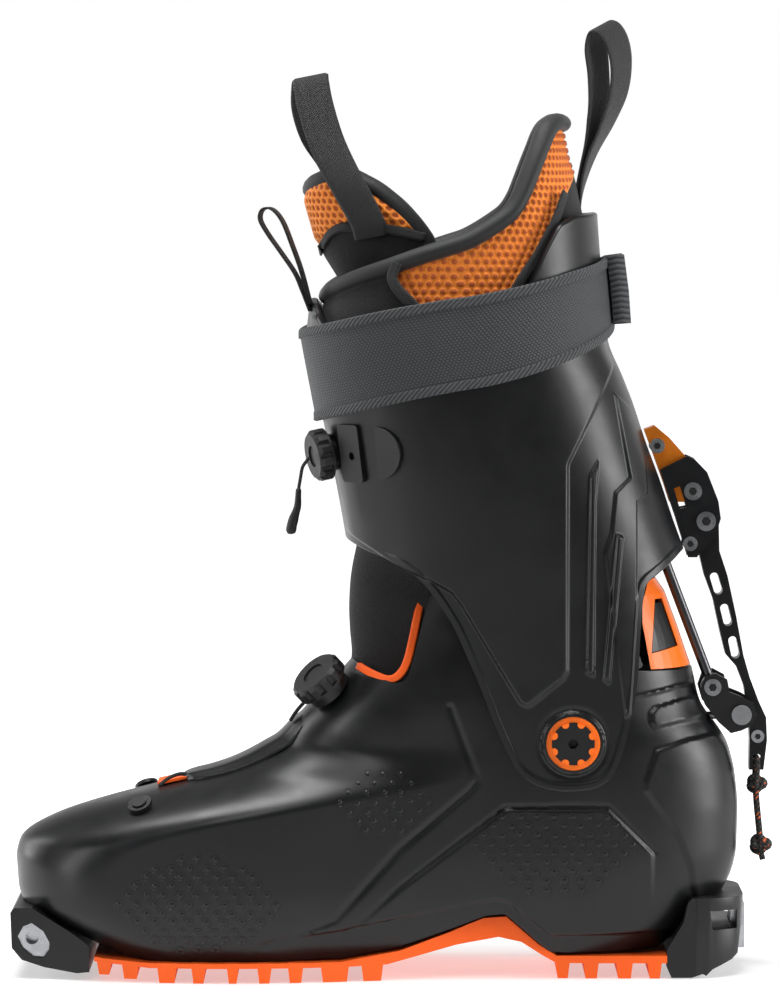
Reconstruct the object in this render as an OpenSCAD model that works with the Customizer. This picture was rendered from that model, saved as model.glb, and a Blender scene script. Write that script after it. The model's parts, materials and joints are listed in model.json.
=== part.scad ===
// Touring ski boot, left foot, toe towards -X, outer side towards -Y, +Z up.
// The origin lies on the ground under the middle of the boot. All sizes are in millimetres.

/* [Lower shell] */
// Wall thickness of the lower shell
shell_wall = 3.5; // [3:0.5:4]
// Height of the shell's bottom above the ground at the forefoot
sole_h = 8; // [7:0.5:9]
// Height of the toe and heel ledges
ledge_h = 28; // [27:0.5:29]

/* [Cuff] */
// Wall thickness of the cuff
cuff_wall = 3.5; // [3:0.5:4]
// Forward position of the cuff pivot
pivot_x = 72; // [71:0.5:73]
// Height of the cuff pivot
pivot_z = 95; // [94:0.5:96]
// Radius of the pivot bolt's bearing surface
pivot_r = 8.4; // [8:0.1:8.6]

/* [Walk lever] */
// Radius of the lock pin at the heel
lock_pin_r = 2.2; // [2:0.1:2.4]
// Diameter of the strut between the heel bracket and the cuff
strut_d = 4.2; // [4:0.1:4.4]

/* [Bindings] */
// Radius of the toe sockets
socket_r = 2.65; // [2.5:0.05:2.8]
// Depth of the toe sockets
socket_depth = 6; // [5:0.5:7]
// Distance between the toe socket mouths
toe_w = 60; // [59:0.5:61]

/* [Soft goods] */
// Thickness of the liner's foam
liner_foam = 6; // [5:0.5:6]
// Thickness of the pull loops' webbing
webbing_t = 1.4; // [1.2:0.1:1.6]
// Thickness of the power strap
strap_t = 2.2; // [2:0.1:2.4]

/* [Hidden] */
$fn = 64;

gap = 0.3;             // gap between neighbouring moulded pieces
run = 0.05;            // running clearance of a shaft in its bore
heel_ledge_h = ledge_h + 4;
black = "#26282b";
orange = "#ef7d1e";
steel = "#b9bdc1";

// ---------- helpers ----------
function mix(a, b, t) = a + (b - a) * t;
function power(v, n) = sign(v) * pow(abs(v), n);

// Closed solid through a stack of rings with equal point counts. The ends are closed straight
// across, from each point to its partner on the ring's other half: point n - i - shift to point i.
// cyclic joins the last ring to the first instead.
module loft(rings, cyclic = false, shift = 1) {
  n = len(rings[0]);
  m = len(rings);
  walls = [
    for (j = [0:(cyclic ? m - 1 : m - 2)]) for (i = [0:n - 1])
      let (a = j * n + i, b = j * n + (i + 1) % n, c = ((j + 1) % m) * n + i,
           d = ((j + 1) % m) * n + (i + 1) % n)
        each [[a, c, b], [b, c, d]]
  ];
  strip = [
    for (i = [0:floor((n - shift) / 2) - 1])
      let (k = (n - i - shift) % n, l = n - i - shift - 1)
        each [if (i + 1 != l) [i, i + 1, l], if (k != i) [i, l, k]]
  ];
  caps = cyclic ? [] : [
    for (f = strip) each [f, [for (k = [2:-1:0]) (m - 1) * n + f[k]]]
  ];
  polyhedron([for (r = rings) each r], concat(walls, caps));
}

// Flat profile in the side view (X, Z), made from y0 to y1
module side_plate(points, y0, y1) {
  translate([0, y1, 0]) rotate([90, 0, 0]) linear_extrude(y1 - y0) polygon(points);
}

// Round bar along Y
module bar(x, z, r, y0, y1) {
  translate([x, y0, z]) rotate([-90, 0, 0]) cylinder(r = r, h = y1 - y0);
}

// Both sides of the boot
module both_sides() {
  children();
  mirror([0, 1, 0]) children();
}

// Tube swept along a route of points
function unit(v) = v / norm(v);
function heading(p, i) = unit(p[min(i + 1, len(p) - 1)] - p[max(i - 1, 0)]);
function tube_ring(c, d, r, sides) =
  let (side = unit(cross(d, abs(d[1]) < 0.8 ? [0, 1, 0] : [1, 0, 0])), up = cross(side, d))
    [for (k = [0:sides - 1]) c + r * (cos(360 * k / sides) * side + sin(360 * k / sides) * up)];
module tube(route, d, sides = 8) {
  loft([for (i = [0:len(route) - 1]) tube_ring(route[i], heading(route, i), d / 2, sides)]);
}

// Flat band swept along a route; across gives the direction of the band's width
module band(route, across, w, t) {
  loft([
    for (i = [0:len(route) - 1])
      let (d = heading(route, i), s = unit(across(i / (len(route) - 1))), n = unit(cross(d, s)))
        [for (k = [[-1, -1], [1, -1], [1, 1], [-1, 1]]) route[i] + k[0] * s * w / 2 + k[1] * n * t / 2]
  ]);
}

// ---------- outline of the lower shell ----------
// Front of the shell at each height: toe cap, toe box, instep
shell_front = [
  [0, -108], [10, -121], [20, -138], [27, -147], [33, -149], [47, -150], [54, -148], [58, -142.5],
  [63, -132], [67.5, -118], [71.5, -103], [75, -88], [79.5, -69.5], [87, -52], [90.5, -45.5],
  [103, -36], [115, -24], [125, -15], [157, 5]
];
// Rear of the shell at each height
shell_rear = [
  [0, 110], [10, 116], [20, 125], [33, 134], [39, 137], [47, 139], [67, 139.5], [81, 138],
  [92, 135], [100, 129.5], [106, 124.5], [113, 122.5], [119, 121.5], [135, 117], [157, 112]
];
// Half width of the shell along its length
shell_half = [
  [-150, 40], [-120, 43], [-95, 46.5], [-70, 49], [-50, 49], [-30, 46], [-10, 42], [10, 39],
  [30, 38], [90, 38], [110, 37], [140, 36]
];
// Length over which the front end rounds in, and the share of the full width at each height
round_front = [[0, 36], [45, 38], [60, 58], [75, 100], [90, 92], [110, 62], [125, 50], [157, 60]];
width_share = [[0, 0.8], [8, 0.83], [14, 0.92], [22, 0.98], [32, 1], [110, 1], [140, 0.95], [157, 0.93]];
round_rear = 58;
// Underside of the shell along its length, with the arch
shell_under = [
  [-150, ledge_h + gap], [-132, ledge_h + gap], [-123, ledge_h / 2 + gap], [-113, sole_h + 1.5],
  [-95, sole_h], [-18, sole_h], [4, 12.5], [24, 20], [38, 26], [46, 27], [55, 18], [63, 9.5], [108, 9.5],
  [113, 11], [120, 20], [125.5, heel_ledge_h + gap], [150, heel_ledge_h + gap]
];
// Rim of the shell from the heel forwards: lip, throat notch and ankle walls
shell_rim = [
  [-30, 126], [-15, 125], [-8, 122], [-1, 118.5], [4, 118], [7.5, 121.5], [10, 130], [13, 142],
  [17, 155], [24, 157], [84, 153], [96, 140], [101, 122], [140, 121]
];

function end_round(t, n) = pow(1 - pow(1 - min(max(t, 0), 1), n), 1 / n);
function front_at(z, off) = max(lookup(z, shell_front) + off, lookup(z + off, shell_front) + 0.3 * off);
function shell_y(x, z, off) =
  let (f = front_at(z, off), r = lookup(z, shell_rear) - off)
    max(0, (lookup(x, shell_half) * lookup(z, width_share) - off)
      * end_round((x - f) / lookup(z, round_front), 2.1) * end_round((r - x) / round_rear, 2.2));
function shell_x(s, z, off) =
  let (f = front_at(z, off), r = lookup(z, shell_rear) - off)
    mix(r, f, (1 - cos(180 * s)) / 2);
function shell_point(s, side, z, off) = let (x = shell_x(s, z, off)) [x, side * shell_y(x, z, off), z];

// Columns run round the shell: heel, outer side, toe, inner side
half_columns = 30;
column = function(i) i <= half_columns ? [i / half_columns, -1] : [2 - i / half_columns, 1];
// Lowest and highest point of each column of a layer that lies off inside the shell's outside
function low_z(s, off) =
  let (z0 = lookup(shell_x(s, 20, 0), shell_under), z1 = lookup(shell_x(s, z0, 0), shell_under))
    lookup(shell_x(s, (z0 + z1) / 2, 0), shell_under) + off;
function rim_z(s, top) =
  let (z0 = min(top, lookup(shell_x(s, 120, 0), shell_rim)))
    min(top, lookup(shell_x(s, z0, 0), shell_rim));
function shell_ring(t, off, top, drop = 0) = [
  for (i = [0:2 * half_columns - 1])
    let (c = column(i), a = low_z(c[0], off), b = rim_z(c[0], top) - drop)
      shell_point(c[0], c[1], mix(a, b, t), off)
];
steps = [0, 0.03, 0.07, 0.12, 0.18, 0.25, 0.32, 0.39, 0.46, 0.53, 0.6, 0.67, 0.74, 0.81, 0.88, 0.94, 1];
function reversed(l) = [for (i = [len(l) - 1:-1:0]) l[i]];

// A cup between two layers of the shell's form
module cup(outer, inner, top) {
  loft(concat(
    [for (t = steps) shell_ring(t, outer, top)],
    [for (t = reversed(steps)) shell_ring(t, inner, top)]
  ), shift = 0);
}

module lower_shell() {
  color(black) difference() {
    cup(0, shell_wall, 200);
    bar(pivot_x, pivot_z, 6 + run, -60, 60);
    translate([115, 0, 101.5]) rotate([0, 90, 0]) cylinder(r = 1.6, h = 30);
  }
}

// ---------- outline of the cuff ----------
cuff_front = [
  [75, -5], [120, -14], [150, -16], [173, -17.6], [192, -21], [212, -25], [221, -27], [255, -33.5],
  [268, -32], [302, -27]
];
cuff_rear = [
  [75, 135], [125, 132], [150, 122], [166, 118.5], [180, 113.3], [196, 108], [212, 101.9],
  [228, 96.7], [240, 91.9], [250, 87], [285, 83.8], [302, 82.5]
];
cuff_half = [[75, 45], [120, 45.5], [150, 47], [175, 49], [200, 51], [225, 52], [255, 52.5], [302, 50]];
// Lower edge of the cuff from the rear middle, round the pivot lobe, to the front middle
cuff_edge = [
  [118.5, 169], [115.5, 168.6], [109, 163.7], [104.7, 160.5], [100.7, 157], [99.3, 150], [98.4, 138],
  [97.6, 124], [96, 109.5], [92, 93], [88, 83], [82, 78], [75, 76.5], [66, 76.5], [58, 78.5],
  [51, 83], [46.5, 90.5], [41, 103], [36, 116], [30, 130], [25, 141], [18, 152], [13, 158],
  [6, 164], [-1, 167], [-8, 169.5], [-13, 171.5], [-17.6, 173.6]
];
// Upper edge of the cuff against the angle from the rear middle
cuff_top = [
  [0, 302], [36, 301], [48, 297.5], [56, 288], [63, 276], [69, 262], [90, 256], [150, 258], [165, 266],
  [180, 268],
];
cuff_n = 2.3;
cuff_lean = 0.2;       // forward lean of the cuff's walls

function cuff_mid(z) = (lookup(z, cuff_front) + lookup(z, cuff_rear)) / 2;
function cuff_long(z) = (lookup(z, cuff_rear) - lookup(z, cuff_front)) / 2;
// Point of the cuff's form at an angle from the rear, off inside its outside
function cuff_point(angle, side, z, off) = [
  cuff_mid(z) + (cuff_long(z) - off) * power(cos(angle), 2 / cuff_n),
  side * (lookup(z, cuff_half) - off) * power(sin(angle), 2 / cuff_n), z
];
function cuff_angle(x, z) =
  let (c = min(max((x - cuff_mid(z)) / cuff_long(z), -1), 1)) acos(power(c, cuff_n / 2));

cuff_columns = len(cuff_edge) - 1;
cuff_column = function(i) i <= cuff_columns ? [i, -1] : [2 * cuff_columns - i, 1];
cuff_ring = function(t, off) [
  for (i = [0:2 * cuff_columns - 1])
    let (c = cuff_column(i), e = cuff_edge[c[0]], low = cuff_angle(e[0], e[1]),
         high = 180 * c[0] / cuff_columns, top = lookup(high, cuff_top),
         share = min(1, t * 1.6))
      cuff_point(mix(low, high, share), c[1], mix(e[1], top, t), off)
];
cuff_steps = [0, 0.05, 0.12, 0.2, 0.3, 0.4, 0.5, 0.6, 0.7, 0.8, 0.9, 1];

// ---------- liner ----------
// Outline of the liner's ankle: height, front, rear, half width
ankle_form = [
  [118, -13, 110.5, 29.5], [123, -9.5, 108.2, 28.5], [127, -10.5, 107.6, 27.5], [134, -14.5, 107, 27],
  [145, -15, 103.5, 26], [156, -14.5, 101, 26], [164, -14.5, 102, 31.5], [171, -13, 104, 37.5]
];
function oval(xf, xr, b, z, n, count) = [
  for (i = [0:count - 1]) let (a = 360 * i / count)
    [(xf + xr) / 2 + (xr - xf) / 2 * power(cos(a), 2 / n), -b * power(sin(a), 2 / n), z]
];
function form_ring(form, off, count) = [
  for (f = form) oval(f[1] + off, f[2] - off, f[3] - off, f[0], 2.1, count)];

// Outline of the liner inside the cuff
liner_low = 172.5;
function collar_top(angle) = lookup(angle, [
  [0, 340], [20, 341], [34, 338], [50, 324], [66, 306], [90, 292], [120, 283], [150, 276], [180, 270]
]);
function collar_point(angle, t, off) =
  let (a = (angle + 360) % 360, up = a <= 180 ? a : 360 - a, z = mix(liner_low, collar_top(up), t),
       lean = max(0, z - 302) * 0.2)
    cuff_point(up, a <= 180 ? -1 : 1, min(z, 302), off) + [-lean, 0, z - min(z, 302)];

module liner_foot() {
  color("#1b1b1d") cup(shell_wall + 3, shell_wall + 3 + liner_foam, 117.2);
}

module liner_ankle() {
  color("#1b1b1d") loft(concat(form_ring(ankle_form, 0, 36), reversed(form_ring(ankle_form, liner_foam, 36))),
    cyclic = true);
}

// One sewn panel of the liner's leg between two angles from the rear
module liner_panel(from, to) {
  outside = cuff_wall + 1.8;
  angles = [for (k = [0:12]) mix(from + 0.15, to - 0.15, k / 12)];
  color(orange) loft([for (t = [0, 0.15, 0.3, 0.45, 0.6, 0.75, 0.9, 1])
    concat([for (a = angles) collar_point(a, t, outside)],
      [for (a = reversed(angles)) collar_point(a, t, outside + liner_foam)])]);
}
module liner_heel() { liner_panel(-45, 45); }
module liner_outer() { liner_panel(45, 135); }
module liner_shin() { liner_panel(135, 225); }
module liner_inner() { liner_panel(225, 315); }

// Tongue: a pad that wraps the shin inside the collar, higher beside the shin than in front of it
tongue_lean = [
  [180, -6], [212, -12.5], [250, -18.5], [262, -17.4], [271, -17.6], [279, -22], [287, -27.4], [312, -34.5],
  [320, -35.5]
];
tongue_depth = [[180, 12], [255, 20], [270, 28], [285, 38], [320, 39]];
tongue_top = [[0, 313], [25, 316.5], [45, 319], [58, 318.5], [75, 313], [88, 305], [98, 294]];
tongue_wrap = 98;
tongue_half = [[180, 24], [320, 27]];
tongue_t = 6;
function tongue_point(angle, t, off) =
  let (z = mix(180, lookup(abs(angle), tongue_top) - off * 0.2, t))
    [lookup(z, tongue_lean) + off + (lookup(z, tongue_depth) - off) * (1 - cos(angle)),
      (lookup(z, tongue_half) - off) * sin(angle), z];
module liner_tongue() {
  angles = [for (k = [-9:9]) tongue_wrap * k / 9];
  color(orange) loft([for (t = [0, 0.25, 0.45, 0.57, 0.66, 0.75, 0.83, 0.9, 0.95, 1])
    concat(
      [for (a = angles) tongue_point(a, t, 0)],
      [for (a = reversed(angles)) tongue_point(a, t, tongue_t)])]);
}

// ---------- lower shell and its pieces ----------
module throat_trim() {
  // Soft edging in the throat notch, from its lowest point to where the cuff covers it
  route = [[2, 119.6], [5.5, 121], [8.6, 126], [11, 134], [13.6, 146], [15, 153]];
  color(orange) both_sides() loft([
    for (p = route) let (x = p[0] - 3.6, y = shell_y(p[0] + 4, p[1] - 3, shell_wall) + 0.5)
      [for (k = [[-1.8, 0], [-1.8, 2.4], [1.2, 2.4], [1.2, 0]]) [x + k[0], -y - k[1], p[1] + 2.4]]
  ]);
}

// Waterproof gusset in the slot over the toes, and the flap that overlaps it up the instep
module instep_gusset() {
  color(orange) side_plate([
    [-93, 74.4], [-86, 75.9], [-80, 77.3], [-70, 79.8], [-66, 81.5], [-66, 82.1], [-70, 80.7], [-80, 78.2],
    [-86, 77], [-93, 75.4]], -9, 9);
}
module instep_flap() {
  color(black) side_plate([
    [-82, 79.3], [-79, 80], [-73, 81.4], [-65.7, 83.9], [-58, 87.4], [-51, 91.3], [-46, 94.2], [-42, 98.6],
    [-40.6, 97.6], [-45, 92.2], [-51, 89], [-58, 85.4], [-65.7, 82.5], [-73, 80.3], [-82, 78.3]], -12, 12);
}

spine_rear = [[122.8, 120.2], [128, 118.4], [138, 115], [152, 109.8], [157.5, 106]];
function spine_ring(z, off) = [
  for (i = [-12:12]) let (a = i * 7.5)
    [78 + (lookup(z, spine_rear) - off - 78) * power(cos(a), 0.9), (35 - off) * power(sin(a), 0.9), z]
];
spine_side = [[103.2, 122.8], [125, 122.8], [125, 157.5], [103, 157.5], [102, 156], [99.8, 149], [99.8, 141]];
window_side = [[103.5, 129], [114.5, 131], [108, 150], [105, 150]];
module spine_body(clear) {
  intersection() {
    loft([for (z = [122.8, 128, 138, 152, 157.5])
      concat(spine_ring(z, clear), reversed(spine_ring(z, 3 - clear)))], shift = 1);
    children();
  }
}
module heel_spine() {
  color(orange) difference() {
    spine_body(0) side_plate(spine_side, -50, 50);
    for (s = [-1, 1]) side_plate(window_side, s * 25 - 15, s * 25 + 15);
  }
}
module spine_windows() {
  color(black) spine_body(0.4) for (s = [-1, 1])
    translate([0.3, 0, 0.4]) side_plate(
      [for (p = window_side) [103 + (p[0] - 103) * 0.9, 129 + (p[1] - 129) * 0.9]],
      s * 25 - 14, s * 25 + 14);
}

// Half width of the sole along its length
sole_half = [
  [-150, 31], [-136, 33], [-118, 37], [-95, 43], [-70, 46], [-45, 45], [-20, 41], [4, 36], [30, 32],
  [60, 31], [90, 32], [112, 32], [132, 28], [142, 21]
];
function sole_outline(x0, x1, grow) =
  let (xs = [for (k = [0:20]) mix(x0, x1, k / 20)])
    concat([for (x = xs) [x, -lookup(x, sole_half) - grow]],
      reversed([for (x = xs) [x, lookup(x, sole_half) + grow]]));
module within_sole(x0, x1, grow = 0) {
  intersection() {
    translate([0, 0, -1]) linear_extrude(60) polygon(sole_outline(x0, x1, grow));
    children();
  }
}
// Lugs of the outsole: front, rear and bottom height of each
lugs = [
  [-116, -110, 2.5], [-106, -99, 1.2], [-92, -84, 0], [-78.5, -72.5, 0], [-64.5, -59.5, 0],
  [-52.5, -46.5, 0], [-40.5, -34, 0], [-27.5, -16, 0], [-11.5, -2.5, 0], [65.5, 71.5, 0],
  [76.5, 83, 0], [89.5, 96.5, 0], [102, 108, 0]
];
sole_top = [
  [-117, 9.5], [-113, 8.9], [-95, sole_h - gap], [-20, sole_h - gap], [4, 11.6], [24, 18.8], [37, 24],
  [46, 24.6], [53, 18.6], [59, 13.4], [66, 8.9], [110, 8.9]
];
sole_base = [
  [110, 6], [66, 6], [60, 9.4], [52, 14.5], [43, 16.5], [26, 13.5], [11, 9.5], [-1, 6.4], [-18, 5.8],
  [-95, 5.8],
  [-117, 7.6]
];
module outsole() {
  color(orange) within_sole(-118, 111) side_plate_group();
}
module side_plate_group() {
  side_plate(concat(sole_top, sole_base), -60, 60);
  for (l = lugs) side_plate([[l[0], 7.8], [l[0] + 1, l[2]], [l[1] - 1, l[2]], [l[1], 7.8]], -60, 60);
}

module toe_block() {
  color(black) difference() {
    within_sole(-150.5, -118.6) side_plate([
      [-149, ledge_h], [-150.5, 26], [-150, 12], [-146, 7.4], [-137, 4.6], [-124, 2.6], [-119, 3.2],
      [-119, 13.5], [-126, 18.6], [-140, 26.8], [-142, ledge_h]], -60, 60);
    bar(-142, 16, 4.6 + run, -60, 60);
    for (s = [-1, 1]) toe_plate(s, 0.1, toe_w / 2 + 10);
  }
}
module toe_plate(s, clear, outer) {
  inner = toe_w / 2 - 2 - clear;
  side_plate([
    [-147.7 - clear, 16.5], [-145.4, 20.6 + clear], [-142, 22 + clear], [-137.5 + clear, 19],
    [-135 + clear, 14.5],
    [-135.2 + clear, 11.5], [-137.5, 8.2 - clear], [-141.5, 8.6 - clear], [-145.5 - clear, 12]],
    s > 0 ? inner : -outer, s > 0 ? outer : -inner);
}
module toe_insert() {
  color(steel) difference() {
    union() {
      bar(-142, 16, 4.6, -toe_w / 2 + 0.5, toe_w / 2 - 0.5);
      for (s = [-1, 1]) toe_plate(s, 0, toe_w / 2);
    }
    for (s = [-1, 1])
      bar(-142, 16, socket_r, s > 0 ? toe_w / 2 - socket_depth : -60, s > 0 ? 60 : -toe_w / 2 + socket_depth);
  }
}

module heel_block() {
  color(black) difference() {
    within_sole(111.5, 141) side_plate([
      [111.5, 0], [120, 0], [128, 3], [136, 6.5], [138.5, 8], [141, 30], [141, heel_ledge_h - gap],
      [130.8, heel_ledge_h - gap], [122, 22], [115, 13], [111.5, 8.8]], -60, 60);
    translate([136, -10.2, 9]) cube([10, 20.4, 18.4]);
    for (s = [-1, 1]) side_plate([[128, 19], [138, 19], [138, 26.5], [127, 26.5]], s * 30 - 10, s * 30 + 10);
    translate([132, 0, 12]) rotate([0, 90, 0]) cylinder(r = 2, h = 20);
  }
}
module heel_insert() {
  color(steel) difference() {
    translate([136.3, -10, 9.2]) cube([5.5, 20, 18]);
    for (s = [-1, 1]) translate([134, s * 5.2 - 1.6, 15]) cube([12, 3.2, 14]);
    translate([130, 0, 12]) rotate([0, 90, 0]) cylinder(r = 2.1, h = 20);
    translate([140.3, 0, 12]) rotate([0, 90, 0]) cylinder(r = 3.4, h = 20);
  }
}
module heel_insert_screw() {
  color(steel) difference() {
    union() {
      translate([132.5, 0, 12]) rotate([0, 90, 0]) cylinder(r = 1.95, h = 8.5);
      translate([140.35, 0, 12]) rotate([0, 90, 0]) cylinder(r = 3.2, h = 1.4);
    }
    translate([140.6, 0, 12]) rotate([0, 90, 0]) cylinder(r = 1.3, h = 4, $fn = 6);
  }
}

// Footbed on the liner's floor
module insole() {
  low = [for (p = shell_ring(0, shell_wall + liner_foam + 3, 117)) [p[0] * 0.985, p[1] * 0.93, p[2] + 1.4]];
  high = [for (p = low) p + [0, 0, 2.5]];
  color("#55585c") loft([low, high], shift = 0);
}

// Bracket behind the heel: two ears for the lock pin and the strut, joined by a web on the shell
pin_x = 140.2;
pin_z = 103;
eye_x = 128.7;
eye_z = 114;
ear_y0 = 9;
ear_y1 = 12;
module heel_bracket() {
  color(black) difference() {
    union() {
      for (s = [-1, 1]) side_plate([
        [131, 100], [136, 95.5], [140, 96.5], [144.5, 98.5], [146.5, 103], [145, 107.5], [141, 109.8],
        [135.5, 112], [134.5, 117], [129.8, 119.5], [125.5, 118], [123.8, 113], [125.6, 107]],
        s > 0 ? ear_y0 : -ear_y1, s > 0 ? ear_y1 : -ear_y0);
      side_plate([[131, 100], [135.2, 97], [136.8, 99.5], [136.4, 104], [131, 107], [126.2, 106.5]],
        -ear_y1, ear_y1);
    }
    bar(pin_x, pin_z, lock_pin_r + 0.02, -30, 30);
    bar(eye_x, eye_z, 2.02, -30, 30);
    translate([115, 0, 101.5]) rotate([0, 90, 0]) cylinder(r = 1.52, h = 30);
  }
}
module bracket_screw() {
  color(steel) translate([125.8, 0, 101.5]) rotate([0, 90, 0]) union() {
    cylinder(r = 1.5, h = 11.1);
    translate([0, 0, 11.1]) cylinder(r = 2.6, h = 1);
  }
}
module lock_pin() {
  color(steel) {
    bar(pin_x, pin_z, lock_pin_r, -ear_y1 - 0.5, ear_y1 + 0.5);
    for (s = [-1, 1])
      bar(pin_x, pin_z, 4, s > 0 ? ear_y1 + 0.03 : -ear_y1 - 1.8, s > 0 ? ear_y1 + 1.8 : -ear_y1 - 0.03);
  }
}
// Socket head bolt along Y between the faces y0 and y1, with a head on each end
module cross_bolt(x, z, r, head_r, y0, y1, head = 1.2) {
  difference() {
    union() {
      bar(x, z, r, y0 - head / 2, y1 + head / 2);
      bar(x, z, head_r, y0 - head, y0);
      bar(x, z, head_r, y1, y1 + head);
    }
    for (s = [-1, 1]) translate([x, s > 0 ? y1 + 0.4 : y0 - 0.4, z]) rotate([s > 0 ? -90 : 90, 0, 0])
      cylinder(r = head_r * 0.5, h = 3, $fn = 6);
  }
}
module strut_bolt() { color(steel) cross_bolt(eye_x, eye_z, 2, 3.4, -ear_y1 - 0.02, ear_y1 + 0.02); }

// Pivot bolts screwed into the shell, which the cuff turns on
bolt_y = 46.8;
module pivot_bolts() {
  color(black) both_sides() difference() {
    union() {
      bar(pivot_x, pivot_z, 6, -38.7, -35.2);
      bar(pivot_x, pivot_z, pivot_r, -bolt_y, -38.7);
    }
    translate([pivot_x, -bolt_y + 3, pivot_z]) rotate([90, 0, 0]) cylinder(r = 2.1, h = 10, $fn = 6);
    for (a = [22.5:45:359])
      bar(pivot_x + 8.9 * cos(a), pivot_z + 8.9 * sin(a), 1.5, -60, -46.1);
  }
}
module pivot_rings() {
  color(orange) both_sides() difference() {
    bar(pivot_x, pivot_z, 10.6, -46, -41.2);
    bar(pivot_x, pivot_z, pivot_r + run, -60, 0);
  }
}

// ---------- instep closure ----------
// Turns the Z axis to point along a
module facing(p, a) {
  translate(p) rotate([0, acos(a[2] / norm(a)), atan2(a[1], a[0])]) children();
}
instep_at = [-23.9, -16.6, 113.1];
instep_dir = [-0.62, -0.36, 0.69];
module instep_dial_base() {
  color(black) facing(instep_at, instep_dir) difference() {
    cylinder(r = 9, h = 4.4);
    translate([0, 0, 1.2]) cylinder(r = 6.6, h = 10);
  }
}
module instep_spool() {
  color(black) facing(instep_at, instep_dir) translate([0, 0, 1.3]) cylinder(r = 6.55, h = 3.45);
}
module notched_knob(r, h, notches) {
  difference() {
    union() {
      cylinder(r = r, h = h - 1.5);
      translate([0, 0, h - 1.5]) cylinder(r1 = r, r2 = r - 1.5, h = 1.5);
    }
    for (k = [0:notches - 1]) rotate(360 * k / notches) translate([r + 0.6, 0, 0.8]) cylinder(r = 1.7, h = h);
    translate([0, 0, h - 0.8]) cylinder(r = r * 0.42, h = 2);
  }
}
module instep_dial_knob() {
  color(black) facing(instep_at, instep_dir) translate([0, 0, 4.75]) notched_knob(11.3, 6, 12);
}
lace_d = 1.5;
// The lace shows below the dial and again over the toes, and runs under the flap in between
upper_lace = [[-34.5, -11.5, 107.6], [-36.6, -11, 105.2], [-38.6, -10.4, 102.4], [-39.8, -10, 100.4]];
lower_lace = [
  [-81.4, -14, 79.5], [-84, -15.4, 79.6], [-87, -17.6, 78.8], [-89.6, -20, 77.4], [-91.6, -22.4, 75.8]];
module instep_lace() {
  color("#1e1e20") {
    tube(upper_lace, lace_d);
    tube(lower_lace, lace_d);
  }
}

anchor_at = [-98.8, -31.2, 69];
anchor_dir = [-0.28, -0.52, 0.81];
module lace_anchors() {
  color(black) both_sides() facing(anchor_at, anchor_dir) {
    cylinder(r = 4.8, h = 1.4);
    translate([0, 0, 1.3]) cylinder(r = 3, h = 0.9);
  }
}

// ---------- cuff and its pieces ----------
module cuff_shell() {
  color(black) difference() {
    loft(concat(
      [for (t = cuff_steps) cuff_ring(t, 0)],
      [for (t = reversed(cuff_steps)) cuff_ring(t, cuff_wall)]
    ), cyclic = true);
    bar(pivot_x, pivot_z, 10.62, -60, 60);
  }
}

// Power strap round the top of the cuff: lower and upper edge against the angle from the rear
strap_low = [[0, 259], [40, 249], [90, 235], [140, 224], [180, 219.5]];
strap_high = [[0, 285.5], [40, 281], [90, 270], [140, 260], [180, 255.5]];
strap_columns = 56;
strap_gap = 1;
module power_strap() {
  rows = [0, 0.33, 0.67, 1];
  color("#3c3f42") loft([
    for (i = [0:strap_columns - 1])
      let (a = 360 * i / strap_columns, up = a <= 180 ? a : 360 - a, side = a <= 180 ? -1 : 1,
           lo = lookup(up, strap_low), hi = lookup(up, strap_high))
        concat([for (k = rows) cuff_point(up, side, mix(lo, hi, k), -strap_gap)],
          [for (k = reversed(rows)) cuff_point(up, side, mix(lo, hi, k), -strap_gap - strap_t)])
  ], cyclic = true);
}
module strap_keeper() {
  color("#3c3f42") side_plate([[91.2, 257.5], [97, 261], [93, 287], [87.8, 287.5], [88.8, 272]], -15, 13);
}

function cuff_normal(p, side) =
  let (a = cuff_long(p[2]), b = lookup(p[2], cuff_half),
       nx = power((p[0] - cuff_mid(p[2])) / a, cuff_n - 1) / a)
  unit([nx, power(p[1] / b, cuff_n - 1) / b, cuff_lean * nx]);
// Place on the outside of the cuff's outer side at a height and distance along X, facing outwards
module on_cuff(x, z, lift) {
  p = cuff_point(cuff_angle(x, z), -1, z, 0);
  n = cuff_normal(p, -1);
  translate(p + lift * n) rotate([90 - asin(n[2]), 0, atan2(n[1], n[0]) + 90]) children();
}
module cuff_dial_bracket() {
  color(black) on_cuff(-13.5, 209, 1.2) difference() {
    linear_extrude(2) offset(1.5) square([9, 20], center = true);
    translate([1, -1, -1]) cylinder(r = 1.6, h = 6);
  }
}
module cuff_dial_pad() {
  color("#34373a") on_cuff(-3.5, 209.5, 1.3) difference() {
    cylinder(r = 10.4, h = 1.5);
    translate([-20 - 0.5, -20, -1]) cube([20, 40, 6]);
  }
}
module cuff_dial_base() {
  color(black) on_cuff(-21.5, 208.5, 1.3) difference() {
    cylinder(r = 7.4, h = 2.6);
    translate([0, 0, 1]) cylinder(r = 3, h = 6);
  }
}
module cuff_dial_knob() {
  color(black) on_cuff(-21.5, 208.5, 1.3) {
    translate([0, 0, 2.65]) notched_knob(10.3, 6, 12);
    translate([0, 0, 1.1]) cylinder(r = 2.95, h = 1.6);
  }
}
module cuff_lace() {
  color("#1e1e20") for (z = [204.5, 212.5]) tube([
    [-25.4, -9.5, z], [-26.8, -4, z], [-27, 2, z], [-26.4, 9, z], [-24.5, 17, z], [-21, 25, z]], 1.4);
}
module cuff_lace_anchor() {
  color(black) mirror([0, 1, 0]) on_cuff(-15.5, 208.5, 1.2)
    linear_extrude(2.2) offset(1.5) square([7, 17], center = true);
}
toggle_route = [[-33.2, -25.6, 204.8], [-34.6, -26, 202.6], [-35.4, -26, 198.4], [-36.2, -26, 193.2]];
module toggle_cord() { color("#1e1e20") tube(toggle_route, 1.4); }
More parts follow.
